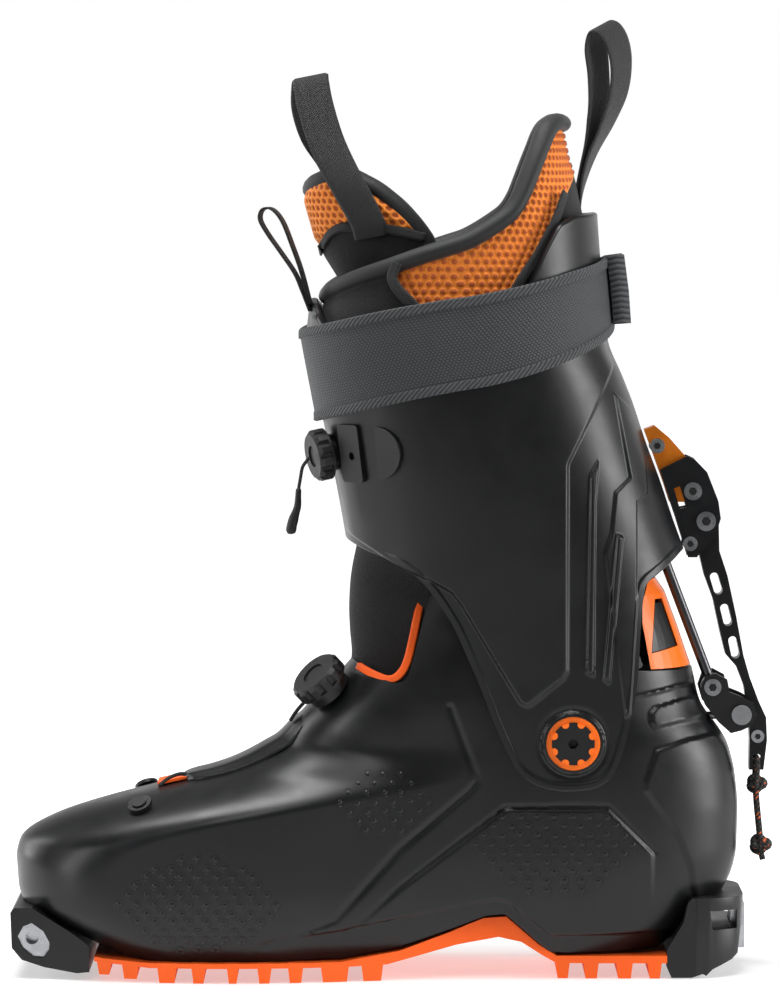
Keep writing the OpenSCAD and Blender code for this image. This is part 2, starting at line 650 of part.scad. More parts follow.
module toggle_sleeve() {
  color(black) tube([[-36.3, -26, 193], [-36.4, -26, 188], [-38.4, -26, 182.4], [-38.8, -26, 176.6]], 3.6);
}

front_loop_route = [
  [-9, -28.4, 300], [-15, -27.8, 311], [-20.5, -25.2, 321], [-25.5, -20.5, 332], [-29.5, -15, 345],
  [-31.2, -11, 353.5], [-31.6, -7.5, 356.5], [-32.2, -4, 353.5], [-32.2, -2, 345], [-29.6, -0.6, 333],
  [-25.6, 0, 323], [-23, 0, 313],
];

function front_loop_turn(t) = t < 0.7 ? 0.1 - 0.6 * max(0, 1 - 3 * t) : 3.4 * (t - 0.7);
module front_pull_loop() {
  color("#232325")
  band(front_loop_route, function(t) [1 - 2.9 * max(0, t - 0.7), front_loop_turn(t), 0.2], 14.5, webbing_t);
}
rear_loop_route = [
  [79, 1.5, 318.5], [79, 3.5, 330], [79.2, 6.5, 343], [79.8, 8, 356], [82.2, 6.5, 366], [86.4, 2.5, 372.5],
  [91, -2.5, 375], [95, -6.5, 372], [96.8, -8.5, 364], [96, -8, 352], [92.5, -5.5, 340], [87.4, -3, 329],
  [82.6, -1.5, 319],
];

module rear_pull_loop() {
  color("#232325") band(rear_loop_route, function(t) [0.15 + 0.6 * sin(180 * t), 0.8, 0], 14.5, webbing_t);
}
ribbon_route = [
  [-34, -12, 271], [-37, -12, 278], [-43, -12, 286], [-49, -12, 294.5], [-51.6, -12, 300.5],
  [-50.2, -12, 304.5],
  [-46.5, -12, 304.5], [-42.5, -12, 299.5], [-38.5, -12, 289.5], [-35.5, -12, 279.5]
];
module ribbon_loop() {
  color("#232325") band(ribbon_route, function(t) [0, 1, 0], 5, 0.9);
}

// ---------- walk mechanism ----------
lever_x = 126.1;
lever_z = 180;
upper_bolt = [120.8, 192];
lower_bolt = [119.8, 171];
plate_bolt = [106.6, 210];
plate_y = 4.3;         // half width of the middle plate
cheek_y0 = 4.6;        // inner face of the side plates
cheek_y1 = 6.8;        // outer face of the side plates
lever_y = 4.2;         // half width of the lever
module walk_plate() {
  color(orange) difference() {
    side_plate([
      [101.4, 216.4], [105.6, 218], [111.6, 213], [120, 203.5], [124, 197], [123.6, 188.5],
      [118, 187.5], [111.6, 187.5],
      [109.2, 195], [105.6, 205]], -plate_y, plate_y);
    bar(plate_bolt[0], plate_bolt[1], 2.02, -30, 30);
    bar(upper_bolt[0], upper_bolt[1], 2.22, -30, 30);
  }
}
module side_plates() {
  color(black) difference() {
    for (s = [-1, 1]) side_plate([
      [107.6, 200.5], [118.5, 206], [121.6, 204.6], [126.5, 199.5], [131, 188], [132, 181],
      [130, 174.5], [126, 170],
      [122.5, 165.5], [119, 165.5], [117.8, 169.5], [114.2, 181], [110.8, 191]],
      s > 0 ? cheek_y0 : -cheek_y1, s > 0 ? cheek_y1 : -cheek_y0);
    side_plate([[113.2, 193], [115.6, 194], [118.4, 185.5], [115.6, 185]], -30, 30);
    bar(upper_bolt[0], upper_bolt[1], 2.22, -30, 30);
    bar(lower_bolt[0], lower_bolt[1], 1.72, -30, 30);
    bar(lever_x, lever_z, 2.52, -30, 30);
  }
}
module plate_bolts() {
  color(steel) {
    cross_bolt(plate_bolt[0], plate_bolt[1], 2, 3, -plate_y - 0.02, plate_y + 0.02);
    cross_bolt(upper_bolt[0], upper_bolt[1], 2.2, 3.6, -cheek_y1 - 0.02, cheek_y1 + 0.02);
    cross_bolt(lower_bolt[0], lower_bolt[1], 1.7, 2.9, -cheek_y1 - 0.02, cheek_y1 + 0.02);
  }
}
module lever_axle() {
  color(steel) cross_bolt(lever_x, lever_z, 2.5, 3.9, -cheek_y1 - 0.02, cheek_y1 + 0.02);
}
cord_hole = [147, 84.5];
lever_bolt_at = [147.2, 93.5];
slot_at = [[130.4, 154.8, 17], [134.4, 142.2, 14], [137.6, 129.2, 12]];
module slot(x, z, lean, r, length) {
  translate([x, 0, z]) rotate([0, -lean, 0]) {
    for (s = [-1, 1]) translate([0, 20, s * (length / 2 - r)]) rotate([90, 0, 0]) cylinder(r = r, h = 40);
    translate([-r, -20, -(length / 2 - r)]) cube([2 * r, 40, length - 2 * r]);
  }
}
module lever() {
  color(black) difference() {
    union() {
      side_plate([
        [123.4, 176.5], [123.2, 168], [125.5, 158.5], [129.2, 148.4], [131.8, 136], [134.2, 126.5],
        [138.6, 121.5],
        [141.5, 114], [143.5, 104], [144, 92], [143.8, 80], [149.6, 80], [151, 92], [150.6, 101],
        [147.6, 107.5],
        [144, 117], [141.4, 126], [138.4, 142], [134.9, 158], [131.6, 168],
        [131.3, 180]], -lever_y, lever_y);
      bar(lever_x, lever_z, 5.2, -lever_y, lever_y);
    }
    for (s = slot_at) slot(s[0], s[1], s[2], 1.7, 9);
    bar(lever_x, lever_z, 2.5 + run, -30, 30);
    bar(cord_hole[0], cord_hole[1], 1.8, -30, 30);
    bar(lever_bolt_at[0], lever_bolt_at[1], 1.52, -30, 30);
  }
}
module lever_bolt() {
  color(steel) cross_bolt(lever_bolt_at[0], lever_bolt_at[1], 1.5, 2.6, -lever_y - 0.02, lever_y + 0.02, 1);
}
strut_y = -6.7;
module strut_eye() {
  color(black) difference() {
    bar(eye_x, eye_z, 4.5, strut_y - 2.1, strut_y + 2.1);
    bar(eye_x, eye_z, 2 + run, -30, 30);
  }
}
module strut() {
  color("#4a4d50") facing([eye_x, strut_y, eye_z], [-20, 0, 52.5])
    translate([0, 0, 4.55]) cylinder(d = strut_d, h = 49);
}
cord_d = 2.4;
cord_route = [
  [149, 0, 43.6], [148.8, -0.6, 47], [148.6, -2, 52], [148, -2.6, 58], [147.2, -2.4, 66], [146.8, -1.8, 72],
  [146.8, -4.4, 76.5], [147, -6, 80.5], [147, -5, 84], [147, 0, 84.5], [147, 5, 84], [147, 6, 80.5],
  [146.8, 4.4, 76.5], [146.8, 1.8, 72], [147.2, 2.4, 66], [148, 2.6, 58], [148.6, 2, 52], [148.8, 1.4, 48]
];
module pull_cord() { color("#1e1e20") tube(cord_route, cord_d); }
module cord_knots() {
  color("#1e1e20") {
    translate([147, 0, 74]) sphere(r = 4);
    translate([148.7, 0, 50]) sphere(r = 4.2);
  }
}

lower_shell();
throat_trim();
instep_gusset();
instep_flap();
heel_spine();
spine_windows();
outsole();
toe_block();
heel_block();
toe_insert();
heel_insert();
heel_insert_screw();
insole();
liner_foot();
liner_ankle();
heel_bracket();
bracket_screw();
lock_pin();
pivot_bolts();
instep_dial_base();
instep_spool();
instep_dial_knob();
instep_lace();
lace_anchors();
strut();
strut_eye();
strut_bolt();
cuff_shell();
pivot_rings();
liner_heel();
liner_outer();
liner_shin();
liner_inner();
liner_tongue();
front_pull_loop();
rear_pull_loop();
ribbon_loop();
power_strap();
strap_keeper();
cuff_dial_bracket();
cuff_dial_pad();
cuff_dial_base();
cuff_dial_knob();
cuff_lace();
cuff_lace_anchor();
toggle_cord();
toggle_sleeve();
walk_plate();
side_plates();
plate_bolts();
lever();
lever_axle();
lever_bolt();
pull_cord();
cord_knots();
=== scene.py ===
"""Looks of the touring ski boot: moulded shell and cuff, soft liner, webbing, cords and studio."""
import json
import math

import bpy
import numpy as np
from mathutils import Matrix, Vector


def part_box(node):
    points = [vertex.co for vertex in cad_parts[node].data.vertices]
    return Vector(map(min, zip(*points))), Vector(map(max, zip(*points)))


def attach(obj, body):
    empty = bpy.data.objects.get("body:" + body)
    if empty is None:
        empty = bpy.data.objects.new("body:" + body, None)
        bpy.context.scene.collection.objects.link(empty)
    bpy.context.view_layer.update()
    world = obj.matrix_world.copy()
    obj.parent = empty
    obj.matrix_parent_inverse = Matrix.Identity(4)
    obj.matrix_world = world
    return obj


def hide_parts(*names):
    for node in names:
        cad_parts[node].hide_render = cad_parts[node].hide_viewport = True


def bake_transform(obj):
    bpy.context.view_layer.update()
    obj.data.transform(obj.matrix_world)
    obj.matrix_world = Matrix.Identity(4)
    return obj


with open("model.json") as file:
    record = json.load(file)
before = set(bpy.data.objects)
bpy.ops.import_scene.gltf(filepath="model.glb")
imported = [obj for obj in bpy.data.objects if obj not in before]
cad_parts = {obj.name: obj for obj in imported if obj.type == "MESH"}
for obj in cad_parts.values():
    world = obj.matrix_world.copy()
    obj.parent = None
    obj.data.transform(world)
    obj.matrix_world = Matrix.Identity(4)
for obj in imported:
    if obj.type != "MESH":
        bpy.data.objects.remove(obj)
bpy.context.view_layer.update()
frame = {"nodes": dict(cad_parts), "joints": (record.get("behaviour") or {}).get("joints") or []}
MM = 0.001

BLACK = (0.003, 0.0032, 0.0036)
ORANGE = (0.9, 0.155, 0.006)


# ---------- numbers and surfaces ----------
def curve(points, soft=0.0):
    """A function through the points, with its corners rounded over about soft millimetres."""
    xs, ys = np.array(points, float).T
    step = 0.25
    grid = np.arange(xs[0] - 4 * soft - 1, xs[-1] + 4 * soft + 1, step)
    values = np.interp(grid, xs, ys)
    if soft:
        reach = np.arange(-3 * soft, 3 * soft + step, step)
        kernel = np.exp(-((reach / soft) ** 2) / 2)
        pad = len(kernel) // 2
        values = np.convolve(np.pad(values, pad, mode="edge"), kernel / kernel.sum(), "same")[pad:-pad]
    return lambda x: np.interp(x, grid, values)


def smooth(edge0, edge1, x):
    """0 before edge0 and 1 past edge1, with a soft step between them."""
    t = np.clip((x - edge0) / (edge1 - edge0), 0, 1)
    return t * t * (3 - 2 * t)


def to_line(x, z, line, closed=False):
    """Distance from each point (x, z) to a line of points."""
    pts = np.array(line + line[:1] if closed else line, float)
    best = np.full(np.shape(x), 1e9)
    for (ax, az), (bx, bz) in zip(pts[:-1], pts[1:]):
        dx, dz = bx - ax, bz - az
        t = np.clip(((x - ax) * dx + (z - az) * dz) / (dx * dx + dz * dz), 0, 1)
        best = np.minimum(best, np.hypot(x - ax - t * dx, z - az - t * dz))
    return best


def inside(x, z, polygon):
    """True for each point (x, z) inside the polygon."""
    hit = np.zeros(np.shape(x), bool)
    for (ax, az), (bx, bz) in zip(polygon, polygon[1:] + polygon[:1]):
        crosses = (az > z) != (bz > z)
        with np.errstate(divide="ignore", invalid="ignore"):
            hit ^= crosses & (x < (bx - ax) * (z - az) / (bz - az) + ax)
    return hit


def signed(x, z, polygon):
    """Distance into the polygon, negative outside it."""
    d = to_line(x, z, polygon, closed=True)
    return np.where(inside(x, z, polygon), d, -d)


def normals(p, wrap=True):
    """Normals of a grid of points, whose columns join up if wrap."""
    if wrap:
        across = np.roll(p, -1, 1) - np.roll(p, 1, 1)
    else:
        across = np.gradient(p, axis=1)
    along = np.gradient(p, axis=0)
    n = np.cross(across, along)
    return n / np.maximum(np.linalg.norm(n, axis=2, keepdims=True), 1e-9)


def mesh_object(name, verts, faces, smooth_shade=True):
    """A mesh from points in millimetres."""
    mesh = bpy.data.meshes.new(name)
    verts = np.asarray(verts, float)
    sizes = np.array([len(f) for f in faces])
    flat = np.concatenate(faces)
    mesh.vertices.add(len(verts))
    mesh.vertices.foreach_set("co", (verts * MM).astype(np.float32).ravel())
    mesh.loops.add(len(flat))
    mesh.loops.foreach_set("vertex_index", flat.astype(np.int32))
    mesh.polygons.add(len(sizes))
    mesh.polygons.foreach_set("loop_start", np.concatenate([[0], np.cumsum(sizes)[:-1]]).astype(np.int32))
    mesh.update(calc_edges=True)
    mesh.validate()
    mesh.polygons.foreach_set("use_smooth", [smooth_shade] * len(mesh.polygons))
    obj = bpy.data.objects.new(name, mesh)
    bpy.context.scene.collection.objects.link(obj)
    return obj


def grid_faces(rows, cols, wrap_cols=True, wrap_rows=False):
    i = np.arange(rows if wrap_rows else rows - 1)[:, None]
    j = np.arange(cols if wrap_cols else cols - 1)[None, :]
    a = i * cols + j
    b = i * cols + (j + 1) % cols
    c = ((i + 1) % rows) * cols + (j + 1) % cols
    d = ((i + 1) % rows) * cols + j
    return np.stack([a + 0 * b, b + 0 * a, c + 0 * a, d + 0 * b], -1).reshape(-1, 4)


def capped_faces(rows, cols):
    """The faces of a tube of rings, closed at both ends."""
    return [*grid_faces(rows, cols), np.arange(cols)[::-1], np.arange(cols) + (rows - 1) * cols]


def grid_object(name, p, wrap_cols=True, wrap_rows=False, uv=None):
    """A surface through a grid of points, rows by columns. uv gives the cloth coordinates of the points."""
    rows, cols = p.shape[:2]
    obj = mesh_object(name, p.reshape(-1, 3), grid_faces(rows, cols, wrap_cols, wrap_rows))
    if uv is not None:
        add_uv(obj, uv.reshape(-1, 2))
    return obj


def add_uv(obj, uv):
    layer = obj.data.uv_layers.new(name="cloth")
    index = np.zeros(len(obj.data.loops), np.int32)
    obj.data.loops.foreach_get("vertex_index", index)
    layer.data.foreach_set("uv", uv[index].astype(np.float32).ravel())


def add_value(obj, name, values):
    attribute = obj.data.attributes.new(name, "FLOAT", "POINT")
    attribute.data.foreach_set("value", values.astype(np.float32).ravel())


def catmull(points, per=12):
    """A smooth line through the points."""
    p = np.array(points, float)
    p = np.vstack([2 * p[0] - p[1], p, 2 * p[-1] - p[-2]])
    out = []
    for k in range(1, len(p) - 2):
        for t in np.arange(per) / per:
            out.append(0.5 * (2 * p[k] + (p[k + 1] - p[k - 1]) * t
                              + (2 * p[k - 1] - 5 * p[k] + 4 * p[k + 1] - p[k + 2]) * t * t
                              + (3 * p[k] - p[k - 1] - 3 * p[k + 1] + p[k + 2]) * t ** 3))
    out.append(p[-2])
    return np.array(out)


def frames(path, up, across=None):
    """Sides and normals along a path. up is the wanted normal, or across the side as it is."""
    d = np.gradient(path, axis=0)
    d /= np.linalg.norm(d, axis=1, keepdims=True)
    side = np.cross(d, np.broadcast_to(up, d.shape)) if across is None else np.array(across, float)
    side /= np.linalg.norm(side, axis=1, keepdims=True)
    normal = np.cross(side, d)
    return side, normal / np.linalg.norm(normal, axis=1, keepdims=True)


def side_line(points, per):
    """A smooth line through points (x, z) of the side view."""
    return catmull([(x, 0, z) for x, z in points], per)[:, [0, 2]]


def arc_length(path):
    return np.concatenate([[0], np.cumsum(np.linalg.norm(np.diff(path, axis=0), axis=1))])


def sweep(name, path, section, up, closed=False, across=None):
    """A section (side, normal) swept along a path. The cloth coordinates run along and round it."""
    path = np.asarray(path, float)
    section = np.asarray(section, float)
    if closed:
        up = np.broadcast_to(up, path.shape)
        long, long_up = (np.vstack([a[-3:], a, a[:3]]) for a in (path, up))
        side, n = (a[3:-3] for a in frames(long, long_up))
    else:
        side, n = frames(path, up, across)
    if section.ndim == 2:
        section = np.broadcast_to(section, (len(path),) + section.shape)
    p = path[:, None] + section[..., :1] * side[:, None] + section[..., 1:] * n[:, None]
    u = np.broadcast_to(arc_length(path)[:, None], p.shape[:2])
    rows, cols = p.shape[:2]
    faces = grid_faces(rows, cols, True, True) if closed else capped_faces(rows, cols)
    obj = mesh_object(name, p.reshape(-1, 3), faces)
    add_uv(obj, np.stack([u, section[..., 0]], -1).reshape(-1, 2))
    return obj


def round_section(r, count=12, squash=1.0):
    a = np.arange(count) * 2 * math.pi / count
    return np.stack([r * np.cos(a), r * squash * np.sin(a)], 1)


def band_section(width, thick, count=14):
    """Flat band with rounded selvedges."""
    x = np.linspace(-1, 1, count)
    edge = np.clip(1 - np.abs(x) ** 14, 0, 1) ** 0.5
    top = np.stack([x * width / 2, edge * thick / 2], 1)
    low = np.stack([x[::-1] * width / 2, -edge[::-1] * thick / 2], 1)
    return np.vstack([top, low[1:-1]])


def join(name, objs):
    """Several meshes as one."""
    bpy.ops.object.select_all(action="DESELECT")
    for o in objs:
        o.select_set(True)
    bpy.context.view_layer.objects.active = objs[0]
    bpy.ops.object.join()
    objs[0].name = name
    return objs[0]


def circle(x, z, r, count):
    a = np.arange(count) * 2 * math.pi / count
    return np.stack([x + r * np.cos(a), z + r * np.sin(a)], 1)


def prism(name, outline, y0, y1, smooth_shade=True):
    """A closed side-view outline, as a solid from y0 to y1."""
    flat = np.asarray(outline, float)
    if np.sum(flat[:, 0] * np.roll(flat[:, 1], -1) - flat[:, 1] * np.roll(flat[:, 0], -1)) > 0:
        flat = flat[::-1]
    ends = [np.stack([flat[:, 0], np.full(len(flat), y), flat[:, 1]], 1) for y in (y0, y1)]
    return mesh_object(name, np.vstack(ends), capped_faces(2, len(flat)), smooth_shade)


def boolean(obj, cutter, operation="DIFFERENCE", solver="EXACT"):
    """Cuts the object by the cutter, which is used up."""
    cut = obj.modifiers.new("cut", "BOOLEAN")
    cut.object = cutter
    cut.operation = operation
    cut.solver = solver
    bpy.context.view_layer.objects.active = obj
    bpy.ops.object.modifier_apply(modifier="cut")
    bpy.data.objects.remove(cutter)


def crisp(obj):
    """Smooth shading, but for the edges that a cut has left."""
    obj.data.polygons.foreach_set("use_smooth", [True] * len(obj.data.polygons))
    obj.data.set_sharp_from_angle(angle=math.radians(50))


def bevel(obj, width, segments, angle):
    """Softens the edges that are sharper than the angle."""
    soft = obj.modifiers.new("soft_edges", "BEVEL")
    soft.width = width * MM
    soft.segments = segments
    soft.limit_method = "ANGLE"
    soft.angle_limit = math.radians(angle)
    return soft


def lip(a, b, up):
    """Rows of points for a rounded rim from row a to row b."""
    rows = []
    for t in np.linspace(0, math.pi, 7)[1:-1]:
        w = (1 - math.cos(t)) / 2
        rows.append(a * (1 - w) + b * w + up * math.sin(t))
    return np.array(rows)


# ---------- materials ----------
class Tree:
    """A tree of shader nodes under construction."""

    def __init__(self, tree):
        self.tree = tree

    def set(self, node, key, value):
        if isinstance(value, bpy.types.NodeSocket):
            self.tree.links.new(value, node.inputs[key])
        else:
            node.inputs[key].default_value = value

    def add(self, kind, out=0, props=None, **inputs):
        node = self.tree.nodes.new(kind)
        for key, value in (props or {}).items():
            setattr(node, key, value)
        for key, value in inputs.items():
            self.set(node, key.replace("_", " ") if not key.startswith("i") else int(key[1:]), value)
        return node.outputs[out]

    def math(self, op, a, b=0.0, c=0.0):
        return self.add("ShaderNodeMath", props={"operation": op}, i0=a, i1=b, i2=c)

    def split(self, vector):
        """The three parts of a vector."""
        node = self.tree.nodes.new("ShaderNodeSeparateXYZ")
        self.set(node, 0, vector)
        return node.outputs

    def span(self, value, low, high, a, b):
        """A number from a to b as value goes from low to high."""
        return self.add("ShaderNodeMapRange", i0=value, i1=low, i2=high, i3=a, i4=b)


class Nodes(Tree):
    """A material under construction."""

    def __init__(self, name, rough=0.5, colour=BLACK, **inputs):
        self.mat = bpy.data.materials.new(name)
        self.mat.use_nodes = True
        super().__init__(self.mat.node_tree)
        self.shader = self.tree.nodes["Principled BSDF"]
        self.set(self.shader, "Base Color", (*colour, 1))
        self.set(self.shader, "Roughness", rough)
        self.set(self.shader, "Specular IOR Level", 0.4)
        for key, value in inputs.items():
            self.set(self.shader, key.replace("_", " "), value)
        self.mat.diffuse_color = (*colour, 1)

    def place(self):
        return self.add("ShaderNodeTexCoord", 3)

    def cloth(self):
        """Cloth coordinates in millimetres: along and across."""
        parts = self.split(self.add("ShaderNodeUVMap", props={"uv_map": "cloth"}))
        return parts[0], parts[1]

    def noise(self, scale, detail=3.0, rough=0.55, at=None):
        place = at or self.place()
        return self.add("ShaderNodeTexNoise", Vector=place, Scale=scale, Detail=detail, Roughness=rough)

    def ramp(self, value, low, high, a, b):
        """Colour from a to b as value goes from low to high."""
        t = self.span(value, low, high, 0.0, 1.0)
        mix = self.tree.nodes.new("ShaderNodeMix")
        mix.data_type = "RGBA"
        self.set(mix, 0, t)
        self.set(mix, 6, a if isinstance(a, bpy.types.NodeSocket) else (*a, 1))
        self.set(mix, 7, b if isinstance(b, bpy.types.NodeSocket) else (*b, 1))
        return mix.outputs[2]

    def bump(self, height, strength, distance, base=None):
        node = self.tree.nodes.new("ShaderNodeBump")
        self.set(node, "Height", height)
        self.set(node, "Strength", strength)
        self.set(node, "Distance", distance)
        if base:
            self.tree.links.new(base, node.inputs["Normal"])
        self.tree.links.new(node.outputs[0], self.shader.inputs["Normal"])
        return node.outputs[0]

    def colour(self, socket):
        self.tree.links.new(socket, self.shader.inputs["Base Color"])

    def rough(self, socket):
        self.tree.links.new(socket, self.shader.inputs["Roughness"])


def shade(colour, k):
    return tuple(min(1, c * k) for c in colour)


def moulded(name, colour, rough, grain=0.15, spread=1.35):
    """Moulded plastic or rubber: fine spark-eroded grain and a soft cloudiness in its sheen."""
    m = Nodes(name, rough, colour)
    cloud = m.noise(22, 4, 0.6)
    fine = m.noise(2600, 2, 0.5)
    m.colour(m.ramp(cloud, 0.3, 0.75, colour, shade(colour, spread)))
    m.rough(m.span(m.noise(60, 5, 0.65), 0.3, 0.7, rough - 0.05, rough + 0.07))
    m.bump(fine, grain, 0.0002)
    return m.mat


def metal(name, colour, rough, brushed=0.0, metallic=1.0):
    m = Nodes(name, rough, colour, Metallic=metallic)
    stretch = m.add("ShaderNodeMapping", Vector=m.place(), Scale=(1, 1, 14))
    streaks = m.noise(700, 3, 0.6, stretch)
    m.rough(m.span(m.noise(150, 4), 0.3, 0.7, rough - 0.05, rough + 0.1))
    m.bump(streaks, 0.05 + brushed, 0.0001)
    m.colour(m.ramp(m.noise(60, 4), 0.3, 0.7, colour, shade(colour, 0.8)))
    return m.mat


def knit(name, colour, size=0.9, depth=0.5, rough=0.85, sheen=0.25):
    """Fine knitted lining cloth: rows of small stitches that fade into each other."""
    m = Nodes(name, rough, colour)
    m.set(m.shader, "Sheen Weight", 0.3 * sheen)
    m.set(m.shader, "Sheen Roughness", 0.5)
    cells = m.add("ShaderNodeTexVoronoi", Vector=m.place(), Scale=1000 / size)
    threads = m.noise(1000 / size * 2.2, 2)
    # Painted light and shade: each stitch is painted lighter at its crest and darker in the gaps between stitches,
    # following the bump.
    m.colour(m.ramp(cells, 0.1, 0.75, shade(colour, 1.7), shade(colour, 0.55)))
    height = m.math("ADD", m.math("MULTIPLY", cells, -1.0), m.math("MULTIPLY", threads, 0.3))
    m.bump(height, depth, 0.0004)
    return m.mat


def woven(name, colour, pitch, rib, light=2.2):
    """Webbing: ribs across the band, threads along it. pitch and rib are thread widths in millimetres; light is how
    much lighter the crests are painted, as painted highlight.
    """
    m = Nodes(name, 0.62, colour)
    m.set(m.shader, "Sheen Weight", 0.06)
    u, v = m.cloth()
    row = m.math("FLOOR", m.math("DIVIDE", v, rib))
    shift = m.math("MULTIPLY", m.math("MODULO", row, 2.0), math.pi)
    across = m.math("SINE", m.math("ADD", m.math("MULTIPLY", u, 2 * math.pi / pitch), shift))
    along = m.math("ABSOLUTE", m.math("SINE", m.math("MULTIPLY", v, math.pi / rib)))
    height = m.math("MULTIPLY", m.math("ADD", m.math("MULTIPLY", across, 0.5), 0.6), along)
    fuzz = m.noise(2500, 2)
    height = m.math("ADD", height, m.math("MULTIPLY", fuzz, 0.35))
    # Painted light and shade: the crests of the weave are painted up to light times brighter and the hollows darker,
    # following the bump.
    m.colour(m.ramp(height, 0.0, 1.2, shade(colour, 0.5), shade(colour, light)))
    m.bump(height, 0.7, 0.00025)
    return m.mat


def braid(name, colour, fleck, pitch=2.2, flecks=0.0):
    """Braided cord: two opposite sets of spiralling strands, some of them flecked."""
    m = Nodes(name, 0.75, colour)
    m.set(m.shader, "Sheen Weight", 0.06)
    u, v = m.cloth()
    turn, climb = m.math("MULTIPLY", u, 2 * math.pi / pitch), m.math("MULTIPLY", v, 3.0)
    one = m.math("SINE", m.math("ADD", turn, climb))
    two = m.math("SINE", m.math("SUBTRACT", turn, climb))
    height = m.math("MAXIMUM", one, two)
    # Painted light and shade: the strands are painted lighter on their crests and darker between them, following the
    # bump; the flecks are the cord's own colour.
    base = m.ramp(height, 0.0, 1.0, shade(colour, 0.5), shade(colour, 1.9))
    if flecks:
        spots = m.math("MULTIPLY", m.noise(420, 1), m.math("GREATER_THAN", one, 0.3))
        base = m.ramp(spots, flecks, flecks + 0.02, base, fleck)
    m.colour(base)
    m.bump(height, 0.8, 0.0003)
    return m.mat


def spacer_mesh(name, colour, hole):
    """Honeycomb spacer mesh: knitted ridges, with its hollows darkened as painted shade, whose depth is stored on
    the mesh.
    """
    m = Nodes(name, 0.7, colour)
    m.set(m.shader, "Sheen Weight", 0.15)
    depth = m.add("ShaderNodeAttribute", 2, props={"attribute_name": "hollow"})
    threads = m.noise(1900, 3)
    ridge = m.ramp(threads, 0.3, 0.7, shade(colour, 0.72), shade(colour, 1.12))
    # Painted shade: the hollows take the darker hole colour by their depth.
    m.colour(m.ramp(depth, 0.15, 0.85, ridge, hole))
    m.bump(threads, 0.5, 0.0003)
    return m.mat


def stitched(name, colour, thread, pitch=1.5, lean=1.0):
    """Edge tape under a zig-zag stitch."""
    m = Nodes(name, 0.8, colour)
    m.set(m.shader, "Sheen Weight", 0.06)
    u, v = m.cloth()
    saw = m.math("PINGPONG", m.math("ADD", u, m.math("MULTIPLY", v, lean)), pitch / 2)
    height = m.math("ADD", saw, m.math("MULTIPLY", m.noise(2200, 2), 0.3))
    m.colour(m.ramp(height, 0.1, 0.9, colour, thread))
    m.bump(height, 0.8, 0.0004)
    return m.mat


MAT = {
    "shell": moulded("carbon_filled_plastic", BLACK, 0.34, 0.1, 2.0),
    "hard": moulded("black_plastic", (0.004, 0.0042, 0.0047), 0.38, 0.2, 1.6),
    "soft": moulded("soft_black_rubber", (0.006, 0.006, 0.0065), 0.5, 0.25, 1.5),
    "orange_rubber": moulded("orange_rubber", (0.9, 0.11, 0.004), 0.6, 0.15, 1.05),
    "orange_plastic": moulded("orange_plastic", ORANGE, 0.38, 0.1, 1.05),
    "orange_metal": metal("orange_anodised", (0.95, 0.26, 0.02), 0.32, 0.02, 0.75),
    "black_metal": metal("black_anodised", (0.016, 0.0165, 0.018), 0.34, 0.02, 0.6),
    "dark_steel": metal("dark_steel", (0.09, 0.09, 0.095), 0.3),
    "steel": metal("zinc_steel", (0.5, 0.51, 0.53), 0.22),
    # Near-black material for painted shade in bolt sockets.
    "hollow": moulded("socket_shade", (0.002, 0.002, 0.002), 0.6),
    "lining": knit("black_lining", (0.006, 0.006, 0.0065), 0.7),
    "smooth": knit("smooth_binding", (0.009, 0.0095, 0.0105), 0.35, 0.15, 0.6, 0.3),
    "felt": knit("grey_insole", (0.12, 0.12, 0.13), 0.8),
    # The webbing's and the strap's crests carry painted highlight, set by woven's light.
    "webbing": woven("black_webbing", (0.007, 0.007, 0.0075), 1.0, 0.55),
    "strap": woven("grey_strap", (0.017, 0.0185, 0.0205), 1.5, 1.05, light=3.4),
    "binding": stitched("strap_binding", (0.006, 0.006, 0.0065), (0.07, 0.073, 0.078), 2.2, 1.3),
    "tape": stitched("edge_tape", (0.005, 0.005, 0.0055), (0.035, 0.036, 0.039), 1.0, 0.9),
    # The orange mesh's second colour is painted shade for its hollows.
    "mesh": spacer_mesh("orange_mesh", (1.0, 0.27, 0.025), (0.4, 0.075, 0.008)),
    "lace": braid("black_lace", (0.014, 0.013, 0.012), BLACK, 1.3),
    "cord": braid("flecked_cord", (0.014, 0.013, 0.012), (0.55, 0.1, 0.02), 2.0, 0.6),
}


def dress(obj, mat, body, replaces=()):
    """Gives a piece its material and body, and hides the CAD nodes that it stands for."""
    obj.data.materials.clear()
    for m in mat if isinstance(mat, (list, tuple)) else [mat]:
        obj.data.materials.append(MAT[m])
    if body:
        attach(obj, body)
    if replaces:
        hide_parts(*replaces)


